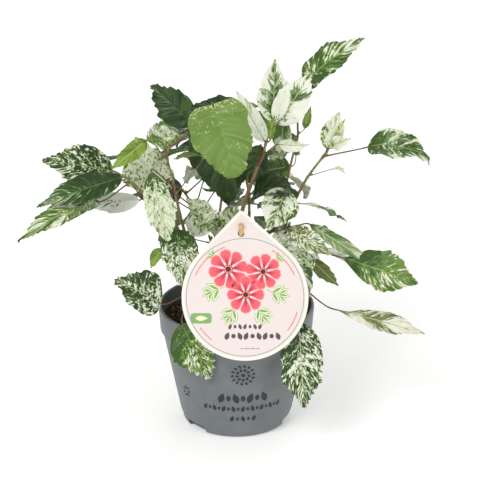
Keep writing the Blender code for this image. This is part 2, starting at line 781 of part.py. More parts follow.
def grown_rows(grown):
    """Leaf rows set round a shoot by the golden angle, over a spread of headings about outward."""
    dice = random.Random(grown["seed"])
    rows = []
    for i in range(grown["count"]):
        share = GROWN_FIRST_SHARE + (1 - GROWN_FIRST_SHARE) * (i + 0.5) / grown["count"]
        turn = grown["outward"] + grown["spread"] * ((i * GOLDEN_SHARE) % 1 - 0.5)
        length = grown["size"] * dice.uniform(*GROWN_SIZE_RANGE)
        rise = dice.uniform(*GROWN_RISE_RANGE)
        petiole = dice.uniform(*GROWN_PETIOLE_RANGE)
        heading = turn + dice.uniform(-GROWN_TURN, GROWN_TURN)
        pitch = grown["pitch"] + dice.uniform(-GROWN_PITCH, GROWN_PITCH)
        roll = dice.uniform(-GROWN_ROLL, GROWN_ROLL)
        arch = dice.uniform(*GROWN_ARCH_RANGE)
        width = length * GROWN_WIDTH_RATIO
        rows.append((share, turn, rise, petiole, heading, pitch, length, width, roll, arch))
    return rows


def clear_of(samples, taken):
    for point in samples:
        outside = math.hypot(point.x, point.y) > RIM_RADIUS + POT_CLEARANCE
        if point.z < POT_HEIGHT + POT_CLEARANCE and not outside:
            return False
        if any((point - other).length < GROWN_CLEARANCE for other in taken):
            return False
    return True


def choose_rows():
    """Every shoot's leaf rows. A grown leaf that would touch the pot, a limb or a leaf is skipped."""
    chosen = {name: list(shoot.get("leaves", [])) for name, shoot in SHOOTS.items()}
    taken = []
    for name in STEMS:
        taken += stem_curve(name)
    for name in BOUGHS:
        taken += bough_curve(name)[0]
    for name, rows in chosen.items():
        curve = shoot_curve(name)[0]
        taken += curve[2:]
        for row in rows:
            taken += leaf_points(curve, row)[2]
    for name, shoot in SHOOTS.items():
        if "grown" not in shoot:
            continue
        curve = shoot_curve(name)[0]
        for row in grown_rows(shoot["grown"]):
            samples = leaf_points(curve, row)[2]
            if clear_of(samples[2:], taken):
                chosen[name].append(row)
                taken += samples
    return chosen


def make_limbs(bark):
    up = Vector((0, 0, 1))
    for name in STEMS:
        curve = stem_curve(name)
        bm = tube(curve, stem_radii(name, curve), STEM_SIDES, first=up, last=end_direction(name))
        make_object(name, bm, bark, smooth_angle=LIMB_CRISP)
    for name, bough in BOUGHS.items():
        curve, out = bough_curve(name)
        radii = tapered(curve, *bough["radius"])
        bm = tube(curve, radii, TWIG_SIDES, first=out, last=end_direction(name))
        make_object(name, bm, bark, smooth_angle=LIMB_CRISP)


def make_masses(foliage):
    chosen = choose_rows()
    for name, shoot in SHOOTS.items():
        curve, out = shoot_curve(name)
        radii = tapered(curve, *shoot["radius"])
        mass = make_object(name, tube(curve, radii, TWIG_SIDES, out), foliage, smooth_angle=LEAF_CRISP)
        pieces = []
        for row in chosen[name]:
            pieces += make_leaf(curve, row)
        apply_boolean(mass, pieces, "UNION")


def main():
    clear_scene()
    make_pot(make_material("grey_polypropylene", (0.17, 0.20, 0.21), 0.55))
    make_soil(make_material("dark_peat", (0.018, 0.012, 0.008), 0.95))
    make_label(make_material("pale_pink_card", (0.93, 0.80, 0.77), 0.5))
    make_cane(make_material("bamboo", (0.55, 0.38, 0.20), 0.6))
    make_limbs(make_material("young_bark", (0.13, 0.08, 0.05), 0.7))
    make_masses(make_material("leaf_green", (0.10, 0.20, 0.06), 0.45))


main()
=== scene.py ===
import math
import random

import bmesh
import bpy
import numpy as np
from mathutils import Matrix, Vector


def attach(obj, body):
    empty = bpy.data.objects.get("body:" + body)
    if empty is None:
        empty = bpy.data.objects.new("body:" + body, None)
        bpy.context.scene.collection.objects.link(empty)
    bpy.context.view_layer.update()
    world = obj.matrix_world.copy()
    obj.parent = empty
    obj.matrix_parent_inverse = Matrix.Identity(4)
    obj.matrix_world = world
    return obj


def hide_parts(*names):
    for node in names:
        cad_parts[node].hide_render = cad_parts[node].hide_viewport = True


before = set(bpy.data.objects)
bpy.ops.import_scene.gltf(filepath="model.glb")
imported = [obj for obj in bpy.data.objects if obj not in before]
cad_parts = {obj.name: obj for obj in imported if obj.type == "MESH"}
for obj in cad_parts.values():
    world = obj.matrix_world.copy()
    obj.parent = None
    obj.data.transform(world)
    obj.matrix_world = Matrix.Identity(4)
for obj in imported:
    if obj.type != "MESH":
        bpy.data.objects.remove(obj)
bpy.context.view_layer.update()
nowScene = bpy.context.scene
anyPhase = (0, 6.3)     # radians, a whole turn

studio = {
    "lens": 134.1,              # mm, on a sensor this wide
    "sensor": 36,
    "eye": (0.0, -1.3766, 0.6987),
    "pitch": 21.4,              # degrees down
    "yaw": -0.128,              # degrees, a touch to the right
    "sees": 100,                # as far as this
    "world": "#f4f5f6",
    "worldStrength": 0.60,
    "floor": "#f6f6f4",
    "floorGlow": 0.24,
    "floorRadius": 30.0,
    "aim": (0, 0.02, 0.17),     # what the lamps point at
    "lamps": {
        "key": {"from": (-1.1, -1.5, 1.9), "size": 1.2, "watts": 32},
        "fill": {"from": (1.6, -1.2, 1.0), "size": 1.8, "watts": 9},
        "back": {"from": (0.5, 1.8, 1.6), "size": 1.4, "watts": 14},
    },
}


def linear(hexColour):
    # sRGB hex to the linear values that a socket wants
    parts = [int(hexColour[i:i + 2], 16) / 255 for i in (1, 3, 5)]
    return tuple(p / 12.92 if p <= 0.04045 else ((p + 0.055) / 1.055) ** 2.4 for p in parts) + (1.0,)


def addNode(tree, kind, settings=None, links=None):
    # one node with its settings, and links given as input: (node, output)
    made = tree.nodes.new(kind)
    for name, value in (settings or {}).items():
        if isinstance(name, int) or name in made.inputs:
            made.inputs[name].default_value = value
        else:
            setattr(made, name, value)
    for name, (source, output) in (links or {}).items():
        tree.links.new(source.outputs[output], made.inputs[name])
    return made


def newMaterial(name, colour, roughness, ior, **sockets):
    made = bpy.data.materials.new(name)
    made.use_nodes = True
    shader = made.node_tree.nodes["Principled BSDF"]
    values = {"Base Color": linear(colour), "Roughness": roughness, "IOR": ior, **sockets}
    for socket, value in values.items():
        shader.inputs[socket].default_value = value
    return made, made.node_tree, shader


def addGrain(tree, shader, size, bump, roughRange, roughSize, stretch=(1, 1, 1)):
    # fine surface relief, and roughness that wanders; sizes are real lengths in metres
    where = addNode(tree, "ShaderNodeTexCoord")
    drawn = addNode(tree, "ShaderNodeMapping", {"Scale": stretch}, {"Vector": (where, "Object")})
    laid = {"Vector": (drawn, "Vector")}
    fine = addNode(tree, "ShaderNodeTexNoise", {"Scale": 1 / size, "Detail": 3.0}, laid)
    relief = addNode(tree, "ShaderNodeBump", {"Strength": 0.6, "Distance": bump}, {"Height": (fine, "Fac")})
    broad = addNode(tree, "ShaderNodeTexNoise", {"Scale": 1 / roughSize}, laid)
    rough = addNode(
        tree, "ShaderNodeMapRange",
        {"From Min": 0.3, "From Max": 0.7, "To Min": roughRange[0], "To Max": roughRange[1]},
        {"Value": (broad, "Fac")})
    tree.links.new(relief.outputs["Normal"], shader.inputs["Normal"])
    tree.links.new(rough.outputs["Result"], shader.inputs["Roughness"])
    return broad, fine


def addTints(tree, shader, height, stops):
    # colours along a ramp, driven by a pattern: stops are (place, hex)
    ramp = addNode(tree, "ShaderNodeValToRGB", None, {"Fac": height})
    while len(ramp.color_ramp.elements) < len(stops):
        ramp.color_ramp.elements.new(0.5)
    for element, (place, colour) in zip(ramp.color_ramp.elements, stops):
        element.position = place
        element.color = linear(colour)
    tree.links.new(ramp.outputs["Color"], shader.inputs["Base Color"])


def grainedMaterial(name, colour, roughness, ior, grained, stops=(), by=1):
    # a material with its grain, and tints along its broad pattern (0) or its fine one (1)
    material, tree, shader = newMaterial(name, colour, roughness, ior)
    patterns = addGrain(tree, shader, *grained)
    if stops:
        addTints(tree, shader, (patterns[by], "Fac"), stops)
    return material


def addObject(name, data):
    made = bpy.data.objects.new(name, data)
    nowScene.collection.objects.link(made)
    return made


def meshFrom(bm, name):
    mesh = bpy.data.meshes.new(name)
    bm.to_mesh(mesh)
    bm.free()
    return mesh


def setUpStudio():
    nowScene.world = bpy.data.worlds.new("softStudio")
    nowScene.world.use_nodes = True
    sky = nowScene.world.node_tree.nodes["Background"]
    sky.inputs["Color"].default_value = linear(studio["world"])
    sky.inputs["Strength"].default_value = studio["worldStrength"]
    for name, lamp in studio["lamps"].items():
        light = addObject(name, bpy.data.lights.new(name, "AREA"))
        light.data.size = lamp["size"]
        light.data.energy = lamp["watts"]
        light.location = lamp["from"]
        toAim = Vector(studio["aim"]) - Vector(lamp["from"])
        light.rotation_euler = toAim.to_track_quat("-Z", "Y").to_euler()
    camera = addObject("camera", bpy.data.cameras.new("camera"))
    camera.data.lens = studio["lens"]
    camera.data.sensor_width = studio["sensor"]
    camera.data.clip_end = studio["sees"]
    camera.location = studio["eye"]
    camera.rotation_euler = (math.radians(90 - studio["pitch"]), 0, math.radians(studio["yaw"]))
    nowScene.camera = camera
    nowScene.view_settings.view_transform = "Standard"
    bm = bmesh.new()
    bmesh.ops.create_circle(bm, cap_ends=True, segments=96, radius=studio["floorRadius"])
    floor = addObject("floor", meshFrom(bm, "floor"))
    # smooth matte paper, lit through a little so that it stays near white
    paper = newMaterial("matteBackdropPaper", studio["floor"], 0.9, 1.4, **{
        "Emission Color": linear(studio["floor"]), "Emission Strength": studio["floorGlow"]})[0]
    floor.data.materials.append(paper)
    print("studio done")


def newBatch(*shape):
    batch = {"verts": [], "faces": [], "tones": [], "count": 0}
    if shape:
        addShape(batch, *shape, 0)
    return batch


def addShape(batch, points, faces, tones):
    # points (n, 3), triangles (m, 3) and one tone a triangle, or one for all
    batch["verts"].append(points)
    batch["faces"].append(faces + batch["count"])
    batch["tones"].append(np.broadcast_to(tones, len(faces)))
    batch["count"] += len(points)


def gridFaces(rows, columns, wrap=False):
    index = np.arange(rows * columns).reshape(rows, columns)
    if wrap:
        index = np.concatenate([index, index[:, :1]], axis=1)
    a, b, c, d = index[:-1, :-1], index[:-1, 1:], index[1:, 1:], index[1:, :-1]
    flip = (np.add.outer(np.arange(a.shape[0]), np.arange(a.shape[1])) % 2 == 0)[..., None]
    first = np.where(flip, np.stack([a, b, d], -1), np.stack([a, b, c], -1))
    second = np.where(flip, np.stack([b, c, d], -1), np.stack([a, c, d], -1))
    return np.concatenate([first.reshape(-1, 3), second.reshape(-1, 3)])


def fanFaces(ring, centre, turned=False):
    faces = np.stack([ring, np.roll(ring, -1), np.full(len(ring), centre)], 1)
    return faces[:, ::-1] if turned else faces


def closedRings(rings, first, last):
    # a skin over rings of points, closed by a point at each end
    levels, around = np.shape(rings)[:2]
    count = levels * around
    ring = np.arange(around)
    faces = np.concatenate([
        gridFaces(levels, around, wrap=True),
        fanFaces(ring, count, turned=True),
        fanFaces(ring + count - around, count + 1),
    ])
    return np.concatenate([np.reshape(rings, (-1, 3)), [first, last]]), faces


def turnedGrid(profile, segments):
    # a profile of (radius, height) points that starts and ends on the axis, turned about Z
    angles = 2 * math.pi * np.arange(segments) / segments
    middle = np.array(profile[1:-1])
    rings = np.stack([
        middle[:, :1] * np.cos(angles),
        middle[:, :1] * np.sin(angles),
        np.repeat(middle[:, 1:], segments, axis=1),
    ], -1)
    return closedRings(rings, (0, 0, profile[0][1]), (0, 0, profile[-1][1]))


def tubeShape(curve, radii, sides, swell=None):
    # a closed tube along a curve; swell gives the radius a factor from the way gone and the angles
    curve = np.array([tuple(point) for point in curve])
    steps = np.diff(curve, axis=0)
    lengths = np.linalg.norm(steps, axis=1)
    steps = steps / lengths[:, None]
    tangents = np.concatenate([steps[:1], steps[1:] + steps[:-1], steps[-1:]])
    tangents /= np.linalg.norm(tangents, axis=1)[:, None]
    side = np.cross(tangents[0], [0.3, 0.2, 0.9])
    gone = np.concatenate([[0], np.cumsum(lengths)])
    angles = 2 * math.pi * np.arange(sides) / sides
    rings = []
    for i, (point, tangent) in enumerate(zip(curve, tangents)):
        side = side - tangent * side.dot(tangent)
        side = side / np.linalg.norm(side)
        radius = np.full(sides, radii[i]) * (swell(gone[i], angles) if swell else 1)
        around = np.cos(angles)[:, None] * side + np.sin(angles)[:, None] * np.cross(tangent, side)
        rings.append(point + radius[:, None] * around)
    return closedRings(rings, curve[0], curve[-1])


def layPiece(name, batch, materials, nodes=(), crisp=40):
    faces = np.concatenate(batch["faces"])
    used, tones = np.unique(np.concatenate(batch["tones"]), return_inverse=True)
    mesh = bpy.data.meshes.new(name)
    mesh.vertices.add(batch["count"])
    mesh.vertices.foreach_set("co", np.concatenate(batch["verts"]).astype(np.float32).ravel())
    mesh.loops.add(3 * len(faces))
    mesh.loops.foreach_set("vertex_index", faces.astype(np.int32).ravel())
    mesh.polygons.add(len(faces))
    mesh.polygons.foreach_set("loop_start", np.arange(0, 3 * len(faces), 3, dtype=np.int32))
    mesh.polygons.foreach_set("material_index", tones.astype(np.int32).ravel())
    mesh.update(calc_edges=True)
    mesh.validate()
    mesh.shade_smooth()
    mesh.set_sharp_from_angle(angle=math.radians(crisp))
    for tone in used:
        mesh.materials.append(materials[tone])
    piece = addObject(name, mesh)
    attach(piece, "root")
    if nodes:
        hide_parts(*nodes)
    return piece


def grain(dice, across, down, acrossSize, downSize):
    # smooth random values from 0 to 1 whose blobs have these sizes
    x = (across - across.min()) / acrossSize
    y = (down - down.min()) / downSize
    lattice = dice.random((int(x.max()) + 2, int(y.max()) + 2))
    i, j = x.astype(int), y.astype(int)
    u, v = smoothStep(0, 1, x - i), smoothStep(0, 1, y - j)
    low = lattice[i, j] * (1 - u) + lattice[i + 1, j] * u
    high = lattice[i, j + 1] * (1 - u) + lattice[i + 1, j + 1] * u
    return low * (1 - v) + high * v


def smoothStep(low, high, value):
    t = np.clip((value - low) / (high - low), 0, 1)
    return t * t * (3 - 2 * t)


def trig(degrees):
    return math.cos(math.radians(degrees)), math.sin(math.radians(degrees))


# Every limb and leaf grows by the rule below, from the tables of stems, boughs and shoots.
growth = {
    "soilTop": 0.091,
    "gap": 0.0003,
    "footLead": 0.03,
    "flare": 1.5,
    "flareHeight": 0.008,
    "branchLead": 0.3,
    "coarseSteps": 3,
    "petioleSteps": 3,
    "petioleSunk": 0.004,
    "petioleSetOff": 0.45,
    "petioleComeIn": 0.25,
    "fold": 14,             # degrees
    "leastHalf": 0.0006,
    "stations": (0.08, 0.22, 0.4, 0.6, 0.8, 1.0),
    "clearance": 0.0075,
    "potRadius": 0.065,
    "potHeight": 0.103,
    "potClearance": 0.004,
}

# The tables are in millimetres and degrees. A stem stands on its foot; the rest grow on from the tip of
# another limb, or from its side, this share of the way along it.
stems = {
    "stem_left": {"radius": (1.9, 1.1), "foot": (-22, 4),
        "route": [(-31, 1, 125), (-43, -2, 170), (-49, 1, 196)]},
    "stem_back_left": {"radius": (1.8, 1.1), "foot": (-8, 14), "route": [(-13, 19, 130), (-14, 18, 174)]},
    "stem_middle": {"radius": (2.2, 1.4), "foot": (-4, 0),
        "route": [(-1, -8, 145), (4, -11, 186), (17, -8, 226)]},
    "stem_right": {"radius": (2.1, 1.4), "foot": (15, 6), "route": [(27, 6, 135), (35, 7, 175)]},
    "stem_low_left": {"radius": (1.6, 1), "foot": (-24, -18), "route": [(-34, -26, 118)]},
    "stem_low_right": {"radius": (1.6, 1), "foot": (28, -12), "route": [(40, -18, 114)]},
    "stem_back": {"radius": (2, 1.3), "foot": (5, 27), "route": [(9, 36, 130), (11, 43, 168)]},
    "stem_low_back_left": {"radius": (1.6, 1.1), "foot": (-18, 30), "route": [(-27, 43, 112)]},
    "stem_low_back_right": {"radius": (1.6, 1.1), "foot": (28, 24), "route": [(40, 36, 114)]},
}
boughs = {
    "bough_far_left": {"on": "stem_left", "along": 0.84, "radius": (1.1, 0.9),
        "route": [(-60, 3, 190), (-72, 4, 195), (-81, 3, 204)]},
    "bough_right_back": {"on": "stem_right", "radius": (1.2, 0.9),
        "route": [(41, 10, 205), (47, 12, 232)]},
    "bough_right": {"on": "stem_right", "along": 0.88, "radius": (1.3, 1.1),
        "route": [(44, -2, 186), (57, -3, 214)]},
    "bough_back_left": {"on": "stem_back", "along": 0.52, "radius": (1.2, 1),
        "route": [(-12, 50, 143), (-26, 63, 152)]},
    "bough_back_right": {"on": "stem_back", "along": 0.62, "radius": (1.2, 1),
        "route": [(24, 55, 143), (32, 68, 147)]},
}

# A leaf holds its look, then: share of the way along the shoot; heading, rise and length of its petiole;
# heading and pitch from the blade's foot to its tip; the blade's length and width; roll; and arch.
shoots = {
    "leaves_far_left": {"on": "bough_far_left", "radius": (0.9, 0.8),
        "route": [(-86, 2, 210), (-91, 0, 215)], "leaves": [
        ("netted", 0.9, 124, 0, 21, -167, 13, 60, 33, -61, 25),
        ("streaked", 1, 180, -22, 2, -162, -13, 76, 23, -58, 35),
        ("mottled", 0.5, -171, -32, 30, -151, -16, 79, 22, -28, 45),
        ("chalky", 0.45, 61, -60, 22, -177, 0, 50, 18, 125, 25),
    ]},
    "leaves_left_top": {"on": "stem_left", "radius": (1, 0.8),
        "route": [(-52, 2, 213), (-56, 4, 230), (-54, 7, 241)], "leaves": [
        ("greenFoot", 0.2, -121, 34, 40, -44, -71, 57, 24, 45, 20),
        ("olive", 0.05, -10, 60, 41, -150, 2, 24, 12, 0, 20),
        ("lime", 0.7, 160, 39, 24, -143, -27, 39, 15, -57, 30),
        ("limeMottled", 0.75, 117, 67, 6, 110, 30, 30, 28, 0, 20),
        ("toothedDark", 0.9, 19, 41, 29, 153, 36, 48, 29, -69, 30),
    ]},
    "leaves_left_side": {"on": "stem_left", "along": 0.7, "radius": (0.9, 0.8),
        "route": [(-53, 9, 176), (-60, 18, 188)], "leaves": [
        ("frosted", 1, 140, 24, 14, 143, 69, 47, 40, -47, 20),
        ("plainDark", 0.8, 95, 70, 12, 80, -70, 40, 28, 60, 30),
        ("greenHeart", 0.3, -89, 19, 24, -82, -57, 48, 30, 6, 25),
    ]},
    "leaves_centre_left": {"on": "stem_back_left", "radius": (1.1, 0.8),
        "route": [(-12, 20, 190), (-9, 18, 215), (-13, 8, 245), (-20, -6, 268)], "leaves": [
        ("plainDark", 0.66, 113, 77, 38, -23, -84, 93, 56, 65, 20),
        ("softGreen", 1, -84, 44, 22, -62, -51, 64, 50, 27, 35),
        ("plainDark", 0.8, 8, 20, 25, 175, 13, 48, 36, -82, 30),
    ]},
    "leaves_centre_low": {"on": "stem_back_left", "along": 0.62, "radius": (0.9, 0.8),
        "route": [(-20, 6, 152), (-22, 0, 162)], "leaves": [
        ("creamMottled", 0.7, -160, 30, 20, 30, 38, 30, 28, 20, 10),
        ("creamMottled", 0.95, 31, -19, 9, 19, 59, 32, 32, 70, 15),
        ("frosted", 0.5, 84, 88, 24, 165, 37, 29, 18, -64, 15),
    ]},
    "leaves_middle_low": {"on": "stem_middle", "along": 0.78, "radius": (0.9, 0.8),
        "route": [(20, -2, 203), (27, 0, 208)], "leaves": [
        ("plainDark", 0.6, -175, -40, 8, -9, 6, 46, 31, 20, 120),
        ("curly", 1, -32, -20, 31, -30, -10, 44, 8, 0, 30),
        ("featheredPale", 0.8, -33, 8, 22, -134, -52, 37, 30, -40, 30),
    ]},
    "leaves_middle_top": {"on": "stem_middle", "radius": (1.3, 0.9),
        "route": [(21, -7, 234), (24, -5, 246), (27, -3, 258)], "leaves": [
        ("plainDark", 0.1, 82, 59, 15, 166, -77, 36, 21, -84, 15),
        ("cream", 0.25, 41, 76, 13, 168, 60, 48, 16, -71, 20),
        ("lime", 0.6, -40, 40, 6, 35, 78, 20, 10, 0, 10),
        ("splashed", 0.95, 42, 47, 7, 86, 72, 51, 27, -7, 20),
        ("splashed", 0.8, 28, 45, 12, 6, 57, 50, 28, 84, 20),
        ("greyGreen", 1, 58, 0, 22, -98, -72, 31, 18, 20, 15),
        ("cream", 0.3, -14, 39, 17, -23, 7, 27, 12, 103, 25),
    ]},
    "leaves_right_top": {"on": "bough_right_back", "radius": (0.9, 0.8),
        "route": [(50, 12, 245), (50, 13, 262), (53, 12, 280)], "leaves": [
        ("greyGreen", 0.22, 113, -65, 30, 178, -10, 26, 22, -61, 15),
        ("greyGreen", 0.05, 125, -30, 11, 180, -12, 21, 18, -20, 20),
        ("lime", 0.3, 22, 40, 8, -27, 75, 20, 7, 109, 10),
        ("feathered", 1, 73, 49, 8, -20, 42, 69, 26, 59, 45),
    ]},
    "leaves_right": {"on": "bough_right", "radius": (1.1, 0.9), "route": [(64, -4, 225), (72, -5, 236)],
        "leaves": [
        ("paleEdged", 0.9, 8, 10, 37, -21, -5, 60, 28, 35, 75),
        ("cream", 0.1, -16, 22, 22, -44, -5, 13, 8, 0, 60),
        ("creamMottled", 0.8, 30, 56, 9, 45, 63, 32, 19, 34, 15),
        ("limeCream", 0.9, -21, 64, 9, -49, 57, 34, 13, 131, 15),
        ("limeCream", 1, -33, 57, 10, -53, 27, 27, 12, 95, 25),
    ]},
    "leaves_right_low": {"on": "stem_right", "along": 0.76, "radius": (1.1, 0.9),
        "route": [(40, -8, 166), (43, -13, 178)], "leaves": [
        ("greyGreen", 0.9, 2, 9, 18, -24, -25, 65, 12, 62, 25),
        ("peppered", 1, -100, -20, 5, -31, -20, 43, 20, 59, 25),
        ("creamTip", 0.4, -24, -6, 54, -21, -12, 66, 32, 59, 30),
        ("olive", 0.2, -12, -19, 29, -5, -45, 33, 12, 72, 25),
        ("minty", 0.7, -142, 24, 12, -40, -54, 61, 36, 15, 25),
    ]},
    "leaves_rim_left": {"on": "stem_low_left", "radius": (1, 0.8),
        "route": [(-39, -29, 132), (-44, -28, 152)], "leaves": [
        ("lime", 1, 155, 25, 20, -123, -37, 20, 12, 0, 20),
        ("silvered", 0.2, -145, -5, 30, -156, 35, 48, 37, -60, 20),
        ("limeFoot", 0.08, -108, -25, 30, -24, -62, 51, 36, 75, 19),
    ]},
    "leaves_rim_right": {"on": "stem_low_right", "radius": (1, 0.8),
        "route": [(45, -20, 122), (50, -22, 130)], "leaves": [
        ("blush", 1, -5, -36, 37, -15, -10, 78, 17, 55, 20),
        ("silvered", 0.7, -83, -31, 34, -73, -77, 73, 36, 18, 20),
    ]},
    "leaves_back_left": {"on": "bough_back_left", "radius": (1, 0.8),
        "route": [(-36, 74, 161), (-45, 83, 172)],
        "grown": {"seed": 77, "count": 20, "outward": 110, "spread": 200, "pitch": -22, "size": 60}},
    "leaves_back_right": {"on": "bough_back_right", "radius": (1, 0.8),
        "route": [(32, 78, 149), (31, 88, 153)],
        "grown": {"seed": 22, "count": 20, "outward": 130, "spread": 120, "pitch": -30, "size": 53}},
    "leaves_back_top": {"on": "stem_back", "radius": (1.2, 0.8),
        "route": [(10, 46, 188), (4, 48, 218), (-4, 46, 245)],
        "grown": {"seed": 21, "count": 20, "outward": 135, "spread": 180, "pitch": -28, "size": 62}},
    "leaves_rim_back_left": {"on": "stem_low_back_left", "radius": (1.1, 0.8),
        "route": [(-35, 50, 124), (-44, 55, 136)],
        "grown": {"seed": 22, "count": 20, "outward": 90, "spread": 140, "pitch": -42, "size": 54}},
    "leaves_rim_back_right": {"on": "stem_low_back_right", "radius": (1.1, 0.8),
        "route": [(45.5, 42, 126), (53, 46, 138)],
        "grown": {"seed": 38, "count": 20, "outward": 130, "spread": 200, "pitch": -42, "size": 54}},
}

# ranges that the leaves of the back shoots vary over
grownLeaf = {
    "goldenShare": 0.618,
    "firstShare": 0.15,
    "size": (0.85, 1.15),
    "widthRatio": 0.68,
    "rise": (5, 35),
    "petiole": (0.020, 0.036),
    "turn": (-20, 20),
    "pitch": (-18, 18),
    "roll": (-20, 20),
    "arch": (30, 60),
    "looks": ("plainDark", "streaked", "flecked", "softGreen", "mottled", "plainDark", "creamTip",
              "frosted", "plainMid", "paleEdged", "cream", "greenFoot"),
}


def inMetres(values):
    return tuple(value / 1000 if np.isscalar(value) else inMetres(value) for value in values)


limbs = {**stems, **boughs, **shoots}
for limb in limbs.values():
    for key in {"radius", "foot", "route"} & set(limb):
        limb[key] = inMetres(limb[key])


def direction(heading, rise):
    across, up = trig(rise)
    x, y = trig(heading)
    return Vector((across * x, across * y, up))


def smoothCurve(points, before=None, after=None, steps=growth["coarseSteps"]):
    points = [Vector(point) for point in points]
    first = Vector(before) if before is not None else 2 * points[0] - points[1]
    last = Vector(after) if after is not None else 2 * points[-1] - points[-2]
    guide = [first, *points, last]
    curve = [points[0]]
    for a, b, c, d in zip(guide, guide[1:], guide[2:], guide[3:]):
        for step in range(1, steps + 1):
            t = step / steps
            bend = (c - a) * t + (2 * a - 5 * b + 4 * c - d) * t**2 + (3 * b - a - 3 * c + d) * t**3
            curve.append((2 * b + bend) / 2)
    return curve


def pointAlong(curve, share):
    lengths = [(b - a).length for a, b in zip(curve, curve[1:])]
    left = share * sum(lengths)
    for a, b, length in zip(curve, curve[1:], lengths):
        if left <= length:
            return a + (b - a) * (left / length), (b - a).normalized()
        left -= length
    return curve[-1], (curve[-1] - curve[-2]).normalized()


def tapered(curve, start, end):
    gone = [0.0]
    for a, b in zip(curve, curve[1:]):
        gone.append(gone[-1] + (b - a).length)
    return [start + (end - start) * length / gone[-1] for length in gone]


def carriesOn(name):
    # the first point of what grows on from a limb's tip
    for limb in [*shoots.values(), *boughs.values()]:
        if limb["on"] == name and "along" not in limb:
            return Vector(limb["route"][0])
    return None


def limbCurve(name, steps=growth["coarseSteps"]):
    # the centre line of any stem, bough or shoot
    limb = limbs[name]
    after = carriesOn(name)
    if name in stems:
        foot = Vector((*limb["foot"], growth["soilTop"] + growth["gap"]))
        below = foot - Vector((0, 0, growth["footLead"]))
        return smoothCurve([foot, *limb["route"]], below, after, steps)
    bearer = limbCurve(limb["on"])
    if "along" not in limb:
        before, tip = bearer[-2:]
        start = tip + (carriesOn(limb["on"]) - before).normalized() * growth["gap"]
        return smoothCurve([start, *limb["route"]], before, after, steps)
    # it leaves the side of its stem, square to it at first
    point, tangent = pointAlong(bearer, limb["along"])
    thick, thin = limbs[limb["on"]]["radius"]
    target = Vector(limb["route"][0])
    out = target - point
    out = (out - tangent * out.dot(tangent)).normalized()
    start = point + out * (thick + (thin - thick) * limb["along"] + growth["gap"])
    lead = start + out * growth["branchLead"] * (target - start).length
    return smoothCurve([start, lead, *limb["route"]], start - (lead - start), after, steps)


def leafAxes(heading, pitch, roll):
    along = direction(heading, pitch)
    flatSide = along.cross(Vector((0, 0, 1))).normalized()
    side = Matrix.Rotation(math.radians(roll), 3, along) @ flatSide
    return along, side, side.cross(along)


def archedAt(share, length, arch):
    # the slope of an arched blade, and how far forward and up it has come
    bend = math.radians(max(arch, 1))
    slope = bend * (0.5 - share)
    forward = length * (math.sin(bend / 2) - np.sin(slope)) / bend
    return slope, forward, length * (np.cos(slope) - math.cos(bend / 2)) / bend


def petioleLine(start, foot, bladeWay, steps=growth["petioleSteps"]):
    span = foot - start
    setOff = start + span * growth["petioleSetOff"]
    comeIn = foot - bladeWay * growth["petioleComeIn"] * span.length
    points = []
    for step in range(steps + 1):
        t = step / steps
        near = start * (1 - t) ** 3 + setOff * 3 * t * (1 - t) ** 2
        points.append(near + comeIn * 3 * t**2 * (1 - t) + foot * t**3)
    return [*points, foot + bladeWay * growth["petioleSunk"]]


def leafPlace(curve, row):
    # the petiole's start, the blade's foot and the way the blade sets off
    share, turn, rise, petiole, heading, pitch, length, width, roll, arch = row
    start = pointAlong(curve, share)[0]
    along, _, normal = leafAxes(heading, pitch, roll)
    ahead, up = trig(arch / 2)
    return start, start + direction(turn, rise) * petiole, along * ahead + normal * up


def leafSamples(curve, row):
    # points down the petiole and the blade that keep leaves apart
    start, foot, way = leafPlace(curve, row)
    samples = petioleLine(start, foot, way)[1:]
    heading, pitch, length, width, roll, arch = row[4:]
    along, side, normal = leafAxes(heading, pitch, roll)
    reach, rise = trig(growth["fold"])
    for share in growth["stations"]:
        slope, forward, lift = archedAt(share, length, arch)
        middle = foot + along * forward + normal * lift
        half = max(width / 2 * max(0.0, math.sin(math.pi * share**0.7)) ** 0.9, growth["leastHalf"])
        up = (normal * math.cos(slope) - along * math.sin(slope)) * half * rise
        samples += [middle - side * half * reach + up, middle, middle + side * half * reach + up]
    return samples


def grownRows(grown):
    dice = random.Random(grown["seed"])

    def vary(name):
        return dice.uniform(*grownLeaf[name])

    first = grownLeaf["firstShare"]
    for i in range(grown["count"]):
        share = first + (1 - first) * (i + 0.5) / grown["count"]
        turn = grown["outward"] + grown["spread"] * ((i * grownLeaf["goldenShare"]) % 1 - 0.5)
        length = grown["size"] / 1000 * vary("size")
        rise, petiole = vary("rise"), vary("petiole")
        heading, pitch = turn + vary("turn"), grown["pitch"] + vary("pitch")
        width = length * grownLeaf["widthRatio"]
        yield share, turn, rise, petiole, heading, pitch, length, width, vary("roll"), vary("arch")


def clearOf(samples, taken):
    for point in samples:
        outside = math.hypot(point.x, point.y) > growth["potRadius"] + growth["potClearance"]
        if point.z < growth["potHeight"] + growth["potClearance"] and not outside:
            return False
        if any((point - other).length < growth["clearance"] for other in taken):
            return False
    return True


def chooseLeaves():
    # every shoot's leaves in metres, with the grown ones that would touch something left out
    chosen, taken = {}, []
    for name in [*stems, *boughs]:
        taken += limbCurve(name)
    for name, shoot in shoots.items():
        curve = limbCurve(name)
        taken += curve[2:]
        chosen[name] = [(*leaf[:4], leaf[4] / 1000, *leaf[5:7], leaf[7] / 1000, leaf[8] / 1000, *leaf[9:])
                        for leaf in shoot.get("leaves", ())]
        for leaf in chosen[name]:
            taken += leafSamples(curve, leaf[1:])
    count = 0
    for name, shoot in shoots.items():
        if "grown" not in shoot:
            continue
        curve = limbCurve(name)
        for row in grownRows(shoot["grown"]):
            samples = leafSamples(curve, row)
            if clearOf(samples[2:], taken):
                chosen[name].append((grownLeaf["looks"][count % len(grownLeaf["looks"])], *row))
                taken += samples
                count += 1
    return chosen


